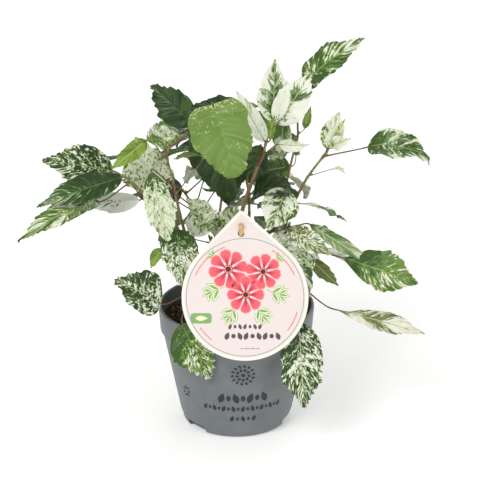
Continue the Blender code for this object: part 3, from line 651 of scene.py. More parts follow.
# Living leaf tissue under a clear wax skin: satin, with soft highlights along the veins. Each tone is
# plain, and triangles are dealt out among the tones. (hex, roughness)
leafTones = {
    "deepGreen": ("#243c16", 0.34),
    "darkGreen": ("#36551c", 0.36),
    "midGreen": ("#50722f", 0.45),
    "leafGreen": ("#6b8839", 0.50),
    "paleGreen": ("#a4b276", 0.50),
    "greyGreen": ("#7b915f", 0.48),
    "paleGrey": ("#b0bb90", 0.52),
    "cream": ("#d3d8bd", 0.52),
    "white": ("#e2e5d4", 0.52),
    "lime": ("#7f9a3a", 0.46),
    "limePale": ("#aebd70", 0.48),
    "limeDark": ("#65822a", 0.46),
    "olive": ("#6c713f", 0.50),
    "blushPink": ("#d9bba2", 0.52),
    "veinPale": ("#8ba05e", 0.50),
    "veinSoft": ("#779256", 0.50),
    "veinDark": ("#3c5a22", 0.36),
    "underGreen": ("#667d52", 0.62),
    "underDark": ("#48603a", 0.60),
    "underPale": ("#d0d3c6", 0.62),
    "stalkGreen": ("#7b8150", 0.50),
    "stalkBrown": ("#6a5536", 0.55),
    "stalkRed": ("#755138", 0.52),
    "budGreen": ("#8e9a50", 0.50),
}
toneNames = list(leafTones)

# what each upper tone turns to on the leaf's dull underside
underside = {
    "deepGreen": "underDark", "darkGreen": "underGreen", "midGreen": "underGreen",
    "leafGreen": "underGreen", "greyGreen": "underGreen", "olive": "underGreen",
    "paleGrey": "underPale", "cream": "underPale", "white": "underPale",
}

# How the variegation falls: tones from dark to pale, and the cuts between them on a field near 0.5 that
# patches, streaks along the side veins and fine specks push about, darker or paler by place.
anyLook = {
    "patch": 0.4, "streak": 0.4, "fine": 0.2, "veins": 0.03, "heart": 0, "margin": 0, "foot": 0,
    "footReach": 2.2, "tip": 0, "rib": "veinPale", "sideVeins": None, "full": 0.9, "broad": 0.7,
    "wave": 0.0018, "waves": 3, "tail": 0.25, "tooth": 0.0016, "footTwist": 0, "tipTwist": 0,
    "hook": 0,
}
looks = {
    "netted": {"tones": ("deepGreen", "darkGreen", "leafGreen", "paleGreen", "white"),
        "cuts": (0.38, 0.52, 0.6, 0.66), "patch": 0.2, "streak": 0.5, "fine": 0.75, "tooth": 0.002},
    "flecked": {"tones": ("deepGreen", "darkGreen", "greyGreen", "paleGrey", "white"),
        "cuts": (0.42, 0.5, 0.54, 0.6), "patch": 0.25, "streak": 0.5, "fine": 0.75, "tooth": 0.002},
    "streaked": {"tones": ("deepGreen", "darkGreen", "greyGreen", "paleGrey"), "cuts": (0.5, 0.7, 0.78),
        "patch": 0.3, "streak": 0.6, "fine": 0.25, "margin": 0.04, "rib": "midGreen", "tail": 0.6,
        "hook": 0.04},
    "mottled": {"tones": ("darkGreen", "leafGreen", "paleGreen", "white"), "cuts": (0.28, 0.5, 0.6),
        "patch": 0.6, "streak": 0.45, "fine": 0.55, "foot": -0.1, "rib": "paleGreen", "tail": 0.6,
        "tooth": 0.0022},
    "limeMottled": {"tones": ("midGreen", "leafGreen", "paleGreen", "paleGrey", "white"),
        "cuts": (0.32, 0.46, 0.54, 0.66), "patch": 0.6, "fine": 0.6, "rib": "paleGreen"},
    "limeFoot": {"tones": ("darkGreen", "leafGreen", "paleGreen", "white"), "cuts": (0.5, 0.74, 0.82),
        "patch": 0.6, "streak": 0.3, "fine": 0.8, "foot": -0.3, "tip": 0.36, "rib": "leafGreen",
        "tooth": 0.003},
    "chalky": {"tones": ("greyGreen", "paleGrey", "underPale"), "cuts": (0.26, 0.36), "patch": 0.3,
        "heart": -0.12, "margin": 0.2, "rib": "paleGrey"},
    "greenFoot": {"tones": ("darkGreen", "greyGreen", "paleGrey", "cream"), "cuts": (0.31, 0.35, 0.5),
        "patch": 0.15, "streak": 0.2, "fine": 0.6, "foot": -0.6, "footReach": 7, "tip": 0.1,
        "rib": "paleGrey", "full": 0.75, "broad": 0.85, "tail": 0},
    "olive": {"tones": ("olive", "leafGreen", "paleGreen"), "cuts": (0.56, 0.7), "patch": 0.3,
        "rib": "paleGreen"},
    "lime": {"tones": ("limeDark", "lime", "limePale"), "cuts": (0.46, 0.78), "rib": "limePale"},
    "plainDark": {"tones": ("deepGreen", "darkGreen"), "cuts": (0.6,), "streak": 0.2, "fine": 0,
        "rib": "veinDark", "sideVeins": "veinDark", "tooth": 0.0014},
    "toothedDark": {"tones": ("deepGreen", "darkGreen", "midGreen"), "cuts": (0.54, 0.74), "streak": 0.3,
        "fine": 0, "rib": "veinDark", "sideVeins": "veinDark", "wave": 0.0028, "tooth": 0.0028},
    "plainMid": {"tones": ("darkGreen", "midGreen"), "cuts": (0.5,), "patch": 0.6, "streak": 0.3,
        "fine": 0, "rib": "midGreen"},
    "frosted": {"tones": ("midGreen", "greyGreen", "paleGrey", "cream"), "cuts": (0.26, 0.38, 0.52),
        "patch": 0.3, "streak": 0.25, "fine": 0.85, "rib": "paleGrey"},
    "greenHeart": {"tones": ("darkGreen", "greyGreen", "paleGrey", "white"), "cuts": (0.4, 0.49, 0.62),
        "patch": 0.2, "streak": 0.2, "fine": 0.95, "foot": -0.8, "footReach": 4, "tip": 0.05,
        "tooth": 0.002},
    "softGreen": {"tones": ("leafGreen", "paleGreen", "cream"), "cuts": (0.74, 0.84), "patch": 0.15,
        "streak": 0.1, "fine": 0.5, "veins": 0, "margin": 0.06, "foot": 0.2, "footReach": 4,
        "rib": "veinSoft", "sideVeins": "veinSoft", "full": 0.5, "broad": 0.62, "wave": 0.0034,
        "tail": 0.1},
    "cream": {"tones": ("paleGreen", "cream", "white"), "cuts": (0.28, 0.48), "patch": 0.5, "fine": 0.3,
        "rib": "paleGrey"},
    "curly": {"tones": ("darkGreen", "greyGreen", "cream"), "cuts": (0.5, 0.6), "patch": 0.7,
        "streak": 0.3, "foot": 0.4, "wave": 0.0026, "waves": 5, "tipTwist": 300},
    "feathered": {"tones": ("darkGreen", "midGreen", "leafGreen", "paleGreen", "white"),
        "cuts": (0.45, 0.59, 0.67, 0.74), "patch": 0.55, "streak": 0.75, "fine": 0.3, "heart": -0.06,
        "margin": 0.08, "wave": 0.003, "tooth": 0.0024},
    "featheredPale": {"tones": ("darkGreen", "greyGreen", "paleGrey", "cream", "white"),
        "cuts": (0.32, 0.4, 0.46, 0.58), "patch": 0.5, "streak": 0.6, "fine": 0.3, "heart": -0.18,
        "margin": 0.12},
    "creamMottled": {"tones": ("midGreen", "paleGreen", "cream", "white"), "cuts": (0.28, 0.38, 0.54),
        "patch": 0.7, "fine": 0.5, "rib": "paleGreen"},
    "splashed": {"tones": ("darkGreen", "midGreen", "greyGreen", "paleGrey", "white"),
        "cuts": (0.17, 0.22, 0.38, 0.43), "patch": 0.75, "fine": 0.25, "heart": -0.28, "margin": 0.2,
        "rib": "paleGreen"},
    "greyGreen": {"tones": ("midGreen", "greyGreen", "paleGrey", "cream"), "cuts": (0.36, 0.52, 0.62),
        "patch": 0.7, "foot": -0.12, "rib": "paleGrey"},
    "paleEdged": {"tones": ("darkGreen", "midGreen", "greyGreen", "paleGrey", "cream"),
        "cuts": (0.52, 0.65, 0.71, 0.76), "streak": 0.65, "fine": 0.45, "heart": -0.06, "margin": 0.2,
        "wave": 0.0028, "tail": 0.5, "hook": 0.11},
    "limeCream": {"tones": ("leafGreen", "limePale", "cream", "white"), "cuts": (0.3, 0.44, 0.62),
        "patch": 0.5, "heart": -0.12, "margin": 0.14, "rib": "limePale"},
    "blush": {"tones": ("olive", "greyGreen", "cream", "blushPink", "white"),
        "cuts": (0.22, 0.28, 0.38, 0.46), "patch": 0.8, "fine": 0.4, "foot": -0.6, "footReach": 3,
        "tip": -0.14, "rib": "paleGrey", "full": 1, "broad": 1.25, "wave": 0.003, "waves": 4,
        "footTwist": -62},
    "creamTip": {"tones": ("darkGreen", "midGreen", "leafGreen", "paleGrey", "white"),
        "cuts": (0.47, 0.63, 0.76, 0.82), "fine": 0.15, "foot": -0.1, "tip": 0.27, "full": 1,
        "broad": 1.05, "wave": 0.003, "footTwist": 30},
    "silvered": {"tones": ("deepGreen", "darkGreen", "greyGreen", "paleGrey", "white"),
        "cuts": (0.39, 0.53, 0.62, 0.69), "patch": 0.3, "streak": 0.5, "fine": 0.75, "rib": "paleGrey",
        "tooth": 0.0022},
    "peppered": {"tones": ("olive", "greyGreen", "paleGrey", "white"), "cuts": (0.43, 0.51, 0.63),
        "streak": 0.35, "fine": 0.8, "rib": "paleGrey"},
    "minty": {"tones": ("darkGreen", "greyGreen", "paleGrey", "white"), "cuts": (0.34, 0.42, 0.58),
        "patch": 0.7, "streak": 0.5, "fine": 0.5, "margin": -0.05},
}

blade = {
    "face": 0.00072,        # side of a face
    "slant": 0.9,           # how far side veins run forward
    "pairs": 7,             # side veins
    "leastHalf": 0.0004,
    "thickness": 0.00036,
    "thinning": 0.6,        # share of the thickness gone at the edge
    "quilt": 0.00105,       # bulge between the side veins
    "rowsPerTooth": 8,
    "toothWidth": 0.035,    # a narrower blade has smaller teeth, waves and bulges
    "softWidth": 0.036,
    "ribHalf": 0.00045,
    "ribDepth": 0.0005,     # how far the midrib stands out below, and half its spread there
    "ribSpread": 0.0007,
    "veinDepth": 0.00014,
    "veinShare": 0.045,     # of the spacing, half the width of a side vein
    "ripple": 0.0022,       # slow ups and downs, and the size of their blobs
    "ripples": (0.016, 0.014),
    "uneven": {1.3: 0.055, 2.9: 0.045, 5.3: 0.030},  # bumps along the edge: share of the width they push it
    "footTurn": 10,         # degrees that a blade may twist by near its foot, and towards its tip
    "tipTurn": 22,
    "toothDepths": (0.5, 1.2),
    # where along the blade each thing comes in or dies away
    "spans": {
        "tail": (0.66, 1), "teeth": (0.2, 0.32), "teethEnd": (1, 0.9), "edge": (0.05, 0.3),
        "edgeEnd": (1, 0.85), "footTwist": (0.6, 0), "tipTwist": (0.4, 1), "wave": (0, 0.15),
        "ripple": (0, 0.2), "hook": (0.74, 1),
    },
    "ribEnd": 0.9,          # the pale midrib stops short of the tip, and the veins short of the edge
    "veinStart": 0.1,
    "veinEnd": 0.86,
    # the variegation: how far its lines wander, and the size of its blobs across and along the veins
    "wander": 0.0030,
    "wanders": ((0.0032, 0.0032), (0.0030, 0.0030)),
    "blobs": {"patch": (0.009, 0.012), "streak": (0.0012, 0.0034), "fine": (0.0009, 0.0010)},
}


def makeLeafMaterials():
    made = []
    for name, (colour, rough) in leafTones.items():
        kind = "shootSkin_" if name.startswith("stalk") else "waxyLeafSkin_"
        # skin cells of 0.5 mm, drawn larger than life so that they show, and a wax bloom in 6 mm clouds
        grained = (0.0005, 0.00008, (rough - 0.05, rough + 0.07), 0.006)
        made.append(grainedMaterial(kind + name, colour, rough, 1.42, grained))
    return made


def comesIn(name, value):
    return smoothStep(*blade["spans"][name], value)


def growBlade(batch, leaf, foot, dice):
    look = {**anyLook, **looks[leaf[0]]}
    heading, pitch, length, width, roll, arch = leaf[5:]
    along, side, normal = [np.array(axis) for axis in leafAxes(heading, pitch, roll)]
    teeth = max(4, round(length / (blade["rowsPerTooth"] * blade["face"])))
    rows = teeth * blade["rowsPerTooth"]
    rib = blade["ribHalf"] / (width / 2)
    right = np.linspace(rib, 1, max(4, round(width / 2 / blade["face"])) + 1)
    v = np.concatenate([-right[::-1], [0], right])[None, :]
    s = (np.arange(rows + 1) / rows)[:, None]
    off = np.abs(v)
    share = s + blade["slant"] * off * s * (1 - s)

    # outline: egg shape with a drawn-out tip, forward teeth and uneven edges
    swell = np.clip(np.sin(np.pi * share ** look["broad"]), 0, None) ** look["full"]
    swell = swell * (1 - look["tail"] * comesIn("tail", share))
    half = np.maximum(width / 2 * swell, blade["leastHalf"])
    ramp = (np.arange(rows + 1) % blade["rowsPerTooth"]) / (blade["rowsPerTooth"] - 1)
    depth = np.repeat(dice.uniform(*blade["toothDepths"], teeth + 1), blade["rowsPerTooth"])[:rows + 1]
    toothed = comesIn("teeth", s) * comesIn("teethEnd", s) * (ramp * depth)[:, None]
    shape = np.random.default_rng(round(length * 1e6) + round(width * 1e7) + round(roll))
    bumps = sum(
        size * np.sin(2 * np.pi * count * s + np.where(v < 0, *shape.uniform(*anyPhase, 2)))
        for count, size in blade["uneven"].items())
    half = half * (1 + bumps * comesIn("edge", s) * comesIn("edgeEnd", s))
    half = half + look["tooth"] * min(1, width / blade["toothWidth"]) * toothed * off**6

    # the blade's surface: arch, twist, fold, quilting between the veins, wavy margins and a hooked tip
    slope, forward, lift = archedAt(share, length, arch)
    up = normal * np.cos(slope)[..., None] - along * np.sin(slope)[..., None]
    twist = (look["footTwist"] + shape.uniform(-1, 1) * blade["footTurn"]) * comesIn("footTwist", share)
    twist = twist + (look["tipTwist"] + shape.uniform(-1, 1) * blade["tipTurn"]) * comesIn("tipTwist", share)
    twist = np.radians(twist)[..., None]
    side, up = side * np.cos(twist) + up * np.sin(twist), up * np.cos(twist) - side * np.sin(twist)
    reach, rise = trig(growth["fold"])
    scale = min(1, width / blade["softWidth"])
    quilted = (0.5 - 0.5 * np.cos(2 * np.pi * blade["pairs"] * s)) * (half / (width / 2))
    waved = off**2.2 * np.sin(2 * np.pi * look["waves"] * s + np.where(v < 0, *dice.uniform(*anyPhase, 2)))
    rippled = grain(dice, share * length, v * half, *blade["ripples"]) - 0.5
    height = half * (np.sqrt(off**2 + 0.004) - 0.06) * rise
    height = height + scale * blade["quilt"] * quilted * np.sqrt(4 * off * np.clip(1 - off, 0, 1))
    height = height + scale * look["wave"] * waved * comesIn("wave", s)
    height = height + scale * blade["ripple"] * rippled * comesIn("ripple", s)
    height = height - look["hook"] * length * comesIn("hook", share) ** 2
    surface = np.array(foot) + along * forward[..., None] + normal * lift[..., None]
    surface = surface + side * (v * half * reach)[..., None] + up * height[..., None]

    # two skins, with the ribs standing out below, and the rim between them
    thick = blade["thickness"] / 2 * (1 - blade["thinning"] * off**3)
    ridge = blade["ribDepth"] * np.exp(-(v * half / blade["ribSpread"]) ** 2) * (1 - share) ** 0.5
    veins = (0.5 + 0.5 * np.cos(2 * np.pi * blade["pairs"] * s)) ** 6
    ridge = ridge + blade["veinDepth"] * veins * (1 - off)
    skins = [surface + up * thick[..., None], surface - up * (thick + ridge)[..., None]]
    count = half.size
    grid = gridFaces(*half.shape)
    index = np.arange(count).reshape(half.shape)
    edge = np.concatenate([index[0, :-1], index[:-1, -1], index[-1, :0:-1], index[:0:-1, 0]])
    after = np.roll(edge, -1)
    faces = np.concatenate([
        grid, grid[:, ::-1] + count,
        np.stack([edge, edge + count, after], 1), np.stack([after, edge + count, after + count], 1)])

    # deal out the tones
    perPoint = np.stack(np.broadcast_arrays(s, v, share, v * half), -1).reshape(-1, 4)
    row, where, reach, across = np.concatenate([perPoint, perPoint])[faces].mean(1).T
    offFace = np.abs(where)
    x, wander = row * length, blade["wander"]
    x = x + wander * (grain(dice, x, across, *blade["wanders"][0]) - 0.5)
    across = across + wander * (grain(dice, x, across, *blade["wanders"][1]) - 0.5)
    field = 0.5 + sum(
        look[name] * (grain(dice, x, across, *size) - 0.5) for name, size in blade["blobs"].items())
    field += look["veins"] * np.cos(2 * np.pi * blade["pairs"] * row)
    field += look["heart"] * (1 - offFace) ** 1.5 + look["margin"] * offFace**2.5
    field += look["foot"] * (1 - reach) ** look["footReach"] + look["tip"] * reach**1.6
    step = np.searchsorted(np.array(look["cuts"]), field)
    upper, under = np.array([
        [toneNames.index(tone), toneNames.index(underside.get(tone, tone))] for tone in look["tones"]]).T
    below = np.arange(len(faces)) // len(grid) == 1
    tones = np.where(below, under[step], upper[step])
    if look["sideVeins"]:
        near = np.abs((row * blade["pairs"]) % 1 - 0.5) > 0.5 - blade["veinShare"] * (1 - 0.5 * offFace)
        near = near & (offFace < blade["veinEnd"]) & (row > blade["veinStart"]) & ~below
        tones[near] = toneNames.index(look["sideVeins"])
    onRib = (offFace < rib * blade["ribEnd"]) & (reach < blade["ribEnd"]) & ~below
    tones[onRib] = toneNames.index(look["rib"])
    addShape(batch, np.reshape(skins, (-1, 3)), faces, tones)


twig = {
    "sides": 10,
    "petioleSides": 8,
    "petioleRadius": 0.00068,
    "petioleTaper": 0.75,
    "petioleSteps": 14,
    "shootSteps": 10,
    "overlap": 0.0012,      # a shoot starts this far inside its limb
    "wobble": (0.04, 3, 900),
    "swelling": 0.35,       # at each knot, and at a petiole's foot
    "knot": 0.0012,
    "tones": ("stalkBrown", "stalkGreen", "stalkRed"),
    "petioleTones": ("stalkBrown", "stalkRed", "stalkBrown"),
    "greenTones": ("stalkGreen", "stalkBrown"),
    "greenLooks": ("lime", "softGreen", "olive", "cream"),
    # buds: length, radius and tones
    "endBud": (0.0045, 0.0011, ("budGreen",)),
    "sideBud": (0.0030, 0.0008, ("budGreen", "stalkRed")),
    "stipule": (0.0042, 0.00035, ("stalkGreen",)),
    "budSteps": 7,
    "budSides": 6,
    "budOut": 0.0008,       # from the middle of the shoot
    "stipuleOut": 0.0006,
    "stipuleLean": 0.8,
}


def addStalk(batch, dice, curve, radii, sides, names, swell=None):
    points, faces = tubeShape(curve, radii, sides, swell)
    middle = points[faces].mean(1)
    value = grain(dice, middle[:, 2] + middle[:, 0], middle[:, 1], 0.006, 0.006)
    picked = np.clip((value * len(names)).astype(int), 0, len(names) - 1)
    addShape(batch, points, faces, np.array([toneNames.index(name) for name in names])[picked])


def addBud(batch, dice, base, way, kind):
    # a small pointed bud or stipule: a tube that swells and closes to a tip
    length, radius, names = twig[kind]
    steps = twig["budSteps"]
    curve = [base + way * length * i / steps for i in range(steps + 1)]
    radii = [radius * (math.sin(math.pi * (0.12 + 0.86 * i / steps)) ** 0.8 + 0.02) for i in range(steps + 1)]
    addStalk(batch, dice, curve, radii, twig["budSides"], names)


def bump(way, size):
    return math.exp(-((way / size) ** 2))


def growTwigs(batch, name, leaves, dice):
    curve = limbCurve(name)
    fine = limbCurve(name, twig["shootSteps"])
    fine = [fine[0] - (fine[1] - fine[0]).normalized() * twig["overlap"], *fine]
    total = sum((b - a).length for a, b in zip(fine, fine[1:]))

    def knotty(gone, angles):
        swell = sum(twig["swelling"] * bump(gone - leaf[1] * total, twig["knot"]) for leaf in leaves)
        wobble, around, along = twig["wobble"]
        return 1 + swell + wobble * np.sin(around * angles + gone * along)

    addStalk(batch, dice, fine, tapered(fine, *shoots[name]["radius"]), twig["sides"], twig["tones"], knotty)
    tipWay = (fine[-1] - fine[-2]).normalized()
    addBud(batch, dice, fine[-1] - tipWay * twig["stipuleOut"], tipWay, "endBud")
    for look, *row in leaves:
        start, foot, way = leafPlace(curve, row)
        line = petioleLine(start, foot, way, twig["petioleSteps"])
        thick = twig["petioleRadius"] * min(1.0, 0.45 + row[6] / 0.09)
        # thicker where it leaves the shoot, and just below the blade
        radii = [radius * (1 + twig["swelling"] * bump(i, 1.5) + 0.25 * bump(len(line) - 3 - i, 1.5))
                 for i, radius in enumerate(tapered(line, thick, thick * twig["petioleTaper"]))]
        names = twig["greenTones" if look in twig["greenLooks"] else "petioleTones"]
        addStalk(batch, dice, line, radii, twig["petioleSides"], names)
        out = (foot - start).normalized()
        upWay = (pointAlong(curve, row[0])[1] + out * 0.6).normalized()
        addBud(batch, dice, start + out * twig["budOut"], upWay, "sideBud")
        for turn in (-1, 1):
            aside = turn * out.cross(Vector((0, 0, 1))) * twig["stipuleLean"]
            sideWay = (out + aside + upWay * 0.3).normalized()
            addBud(batch, dice, start + out * twig["stipuleOut"], sideWay, "stipule")


def growMasses():
    materials = makeLeafMaterials()
    chosen = chooseLeaves()
    total = 0
    for place, (name, leaves) in enumerate(chosen.items()):
        dice = np.random.default_rng(700 + place)
        blades, twigs = newBatch(), newBatch()
        curve = limbCurve(name)
        for leaf in leaves:
            growBlade(blades, leaf, leafPlace(curve, leaf[1:])[1], dice)
        growTwigs(twigs, name, leaves, dice)
        short = name.replace("leaves_", "")
        layPiece("blades_" + short, blades, materials, (name,), crisp=55)
        layPiece("twigs_" + short, twigs, materials, (name,), crisp=60)
        total += sum(len(faces) for faces in blades["faces"] + twigs["faces"])
    print(f"masses: {sum(map(len, chosen.values()))} leaves, {total} triangles")


bark = {
    "sides": 26,
    "step": 0.0011,         # distance between rings
    "ridges": 0.05,         # share of the radius that lengthwise ridges stand out
    "ridgeRows": 400,
    "ridgeColumns": 12,
    "ridgeLength": 0.0018,
    "scarEvery": 0.013,     # leaf scars up the stem
    "scarTurn": 2.4,
    "scarReach": 0.0011,
    "scar": 0.28,
    "ring": 0.06,
    "flareSunk": 0.003,     # how far a stem, a side limb and a limb on a tip start inside what bears them
    "sideSunk": 0.0022,
    "tipSunk": 0.0012,
    "collar": 0.25,
    "collarRings": 6,
    "end": 0.0008,
    "low": "#453a2a",
    "middle": "#644f31",
    "high": "#765f3f",
    "pale": "#8f7b59",
}


def makeBark():
    # young green-brown bark, smooth and dull, with pale corky pores drawn out along the stem
    material, tree, shader = newMaterial("youngHibiscusBark", bark["middle"], 0.72, 1.45)
    fine = addGrain(tree, shader, 0.0009, 0.00025, (0.62, 0.82), 0.008, (1, 1, 0.35))[1]
    where = addNode(tree, "ShaderNodeTexCoord")
    split = addNode(tree, "ShaderNodeSeparateXYZ", None, {"Vector": (where, "Object")})
    climb = addNode(
        tree, "ShaderNodeMapRange", {"From Min": 0.09, "From Max": 0.24, "To Min": 0.0, "To Max": 0.5},
        {"Value": (split, "Z")})
    mixed = addNode(
        tree, "ShaderNodeMath", {"operation": "MULTIPLY_ADD", 1: 0.75},
        {0: (fine, "Fac"), 2: (climb, "Result")})
    addTints(tree, shader, (mixed, "Value"), [
        (0.25, bark["low"]), (0.45, bark["middle"]), (0.68, bark["high"]), (0.9, bark["pale"])])
    return material


def growLimbs():
    material = makeBark()
    for place, name in enumerate([*stems, *boughs]):
        dice = np.random.default_rng(300 + place)
        coarse = limbCurve(name)
        length = sum((b - a).length for a, b in zip(coarse, coarse[1:]))
        steps = max(3, round(length / (len(coarse) - 1) * growth["coarseSteps"] / bark["step"]))
        fine = limbCurve(name, steps)
        radii = tapered(fine, *limbs[name]["radius"])
        if name in stems:
            for i, point in enumerate(fine):
                share = max(0, 1 - (point.z - growth["soilTop"]) / growth["flareHeight"])
                radii[i] *= 1 + (growth["flare"] - 1) * share**1.5
            fine = [fine[0] - Vector((0, 0, bark["flareSunk"])), *fine]
            radii = [radii[0], *radii]
        else:
            sunk = bark["sideSunk" if "along" in limbs[name] else "tipSunk"]
            fine = [fine[0] - (fine[1] - fine[0]).normalized() * sunk, *fine]
            radii = [radii[0] * (1 + bark["collar"]), *radii]
            for i in range(1, min(bark["collarRings"], len(radii))):
                radii[i] *= 1 + bark["collar"] * (1 - i / bark["collarRings"])
        fine.append(fine[-1] + (fine[-1] - fine[-2]).normalized() * bark["end"])
        radii.append(radii[-1] * 0.97)
        columns = bark["ridgeColumns"]
        lattice = dice.random((bark["ridgeRows"], columns))
        ridgePhase = dice.uniform(*anyPhase, 3)

        def relief(gone, angles):
            turn = angles / (2 * math.pi) * columns
            i, t = turn.astype(int) % columns, turn % 1
            row = gone / bark["ridgeLength"]
            j, u = int(row), row % 1
            low = lattice[j, i] * (1 - t) + lattice[j, (i + 1) % columns] * t
            high = lattice[j + 1, i] * (1 - t) + lattice[j + 1, (i + 1) % columns] * t
            swell = bark["ridges"] * (low * (1 - u) + high * u - 0.5) * 1.6
            swell = swell + bark["ridges"] * 0.7 * np.sin(5 * angles + ridgePhase[0] + gone * 60)
            scar = gone / bark["scarEvery"]
            near = bump((scar % 1 - 0.5) * bark["scarEvery"], bark["scarReach"])
            facing = np.clip(np.cos(angles - bark["scarTurn"] * int(scar) - ridgePhase[1]), 0, 1) ** 3
            return 1 + swell + bark["scar"] * near * facing + bark["ring"] * near

        tube = newBatch(*tubeShape(fine, radii, bark["sides"], relief))
        layPiece("bark_" + name, tube, [material], (name,), crisp=70)
    print("limbs done")


soil = {
    "top": 0.091,
    "radius": 0.0612,       # at the top, just inside the pot's wall
    "foot": [(0, 0.0088), (0.0450, 0.0088), (0.0600, 0.083)],
    "rings": 58,
    "segments": 150,
    "lumps": 0.0016,
    "lumpSizes": {0.009: 1.3, 0.0035: 0.8, 0.0015: 0.5},
    "crumbs": 900,
    "crumbSize": (0.0006, 0.0026),
    "crumbLevels": ((-0.7, 0.55), (0.0, 1.0), (0.65, 0.6)),
    "crumbMargin": 0.003,   # no crumb this near the wall
    "fibres": 90,
    "fibreRadius": (0.00015, 0.0004),
    "fibreReach": (0.003, 0.009),
    "fibreBow": 0.25,
    "fibreMargin": 0.010,
    # damp peat, crumbly and matte: near black with drier brown crumbs and pale fibres
    "tints": {"dark": "#1e150c", "warm": "#352516", "dry": "#5c4528", "fibre": "#8b6a40"},
    "grain": (0.0012, 0.0008, (0.85, 1.0), 0.006),
    "crumbGrain": (0.0006, 0.0003, (0.85, 1.0), 0.004),
}


def layCrumb(batch, dice, spot, size, tone):
    # an angular crumb: a lumpy six-sided ball
    angles = np.linspace(0, 2 * math.pi, 7)[:-1]
    rings = []
    for level, width in soil["crumbLevels"]:
        wide = width * dice.uniform(0.7, 1.3, len(angles))
        rings.append(np.stack([np.cos(angles) * wide, np.sin(angles) * wide, np.full(len(angles), level)], 1))
    points, faces = closedRings(rings, (0, 0, -1), (0, 0, 1))
    turn = np.array(Matrix.Rotation(dice.uniform(*anyPhase), 3, Vector(dice.uniform(-1, 1, 3)).normalized()))
    addShape(batch, (points * dice.uniform(0.6, 1.2, 3)) @ turn.T * size + spot, faces, tone)


def fillSoil():
    dice = np.random.default_rng(51)

    def somewhere(margin):
        radius = (soil["radius"] - margin) * math.sqrt(dice.random())
        return radius, dice.uniform(0, 2 * math.pi)

    radii = np.linspace(soil["radius"], 0.0006, soil["rings"])
    profile = soil["foot"] + [(radius, soil["top"]) for radius in radii] + [(0, soil["top"])]
    points, faces = turnedGrid(profile, soil["segments"])
    lumps = sum(share * grain(dice, points[:, 0], points[:, 1], size, size)
                for size, share in soil["lumpSizes"].items())
    onTop = points[:, 2] > soil["top"] - 0.001
    points[:, 2] += np.where(onTop, (lumps - 1.55) * soil["lumps"], 0)
    tints = soil["tints"]
    peat = grainedMaterial("dampPeat", tints["dark"], 0.95, 1.4, soil["grain"], [
        (0.35, tints["dark"]), (0.55, tints["warm"]), (0.78, tints["dry"])])
    layPiece("soil_bed", newBatch(points, faces), [peat], ("soil",), crisp=80)

    crumbs = newBatch()
    for _ in range(soil["crumbs"]):
        radius, angle = somewhere(soil["crumbMargin"])
        size = dice.uniform(*soil["crumbSize"]) * dice.uniform(0.5, 1)
        spot = np.array([radius * math.cos(angle), radius * math.sin(angle), soil["top"] + size * 0.2])
        layCrumb(crumbs, dice, spot, size, int(dice.integers(0, 3)))
    for _ in range(soil["fibres"]):
        radius, angle = somewhere(soil["fibreMargin"])
        turn = dice.uniform(0, 2 * math.pi)
        reach = dice.uniform(*soil["fibreReach"])
        spot = Vector((radius * math.cos(angle), radius * math.sin(angle), soil["top"] + 0.0006))
        way = Vector((math.cos(turn), math.sin(turn), dice.uniform(-0.05, 0.15)))
        bow = Vector((-way.y, way.x, 0.4)) * reach * dice.uniform(-soil["fibreBow"], soil["fibreBow"])
        curve = smoothCurve([spot - way * reach / 2, spot + bow, spot + way * reach / 2], steps=4)
        addShape(crumbs, *tubeShape(curve, [dice.uniform(*soil["fibreRadius"])] * len(curve), 5), 3)
    crumbPeat = [grainedMaterial("peatCrumb_" + name, colour, 0.92, 1.4, soil["crumbGrain"])
                 for name, colour in tints.items()]
    layPiece("soil_crumbs", crumbs, crumbPeat, crisp=35)
    print("soil done")


pot = {
    "height": 0.103,
    "rimRadius": 0.065,
    "bandHeight": 0.020,
    "bandDraft": 0.0012,
    "step": 0.0016,
    "stepRound": 0.0006,
    "footRadius": 0.0455,
    "footRound": 0.004,
    "wall": 0.0016,
    "floor": 0.0085,        # a raised base, so that the notches show plastic
    "recess": [(0, 0.0012), (0.012, 0.0012), (0.0135, 0)],
    "lip": 0.0008,
    "segments": 160,
    "notchHeadings": (-138, -18, 102),
    "notch": (0.012, 0.021, 0.0140),    # deep, wide and tall
    "notchRound": 0.0009,
    "colour": "#6b7073",
    "dark": "#656a6d",
    "pale": "#717679",
    "grain": (0.0007, 0.00006, (0.42, 0.56), 0.015),
}


def potWall(height):
    bandFoot = pot["height"] - pot["bandHeight"]
    topRadius = pot["rimRadius"] - pot["bandDraft"] - pot["step"]
    return pot["footRadius"] + (topRadius - pot["footRadius"]) * min(height / bandFoot, 1)


def roundOver(centre, radius, start, end, steps=5):
    # points on an arc, angles in degrees in the (radius, height) plane
    angles = [math.radians(start + (end - start) * i / steps) for i in range(steps + 1)]
    return [(centre[0] + radius * math.cos(a), centre[1] + radius * math.sin(a)) for a in angles]


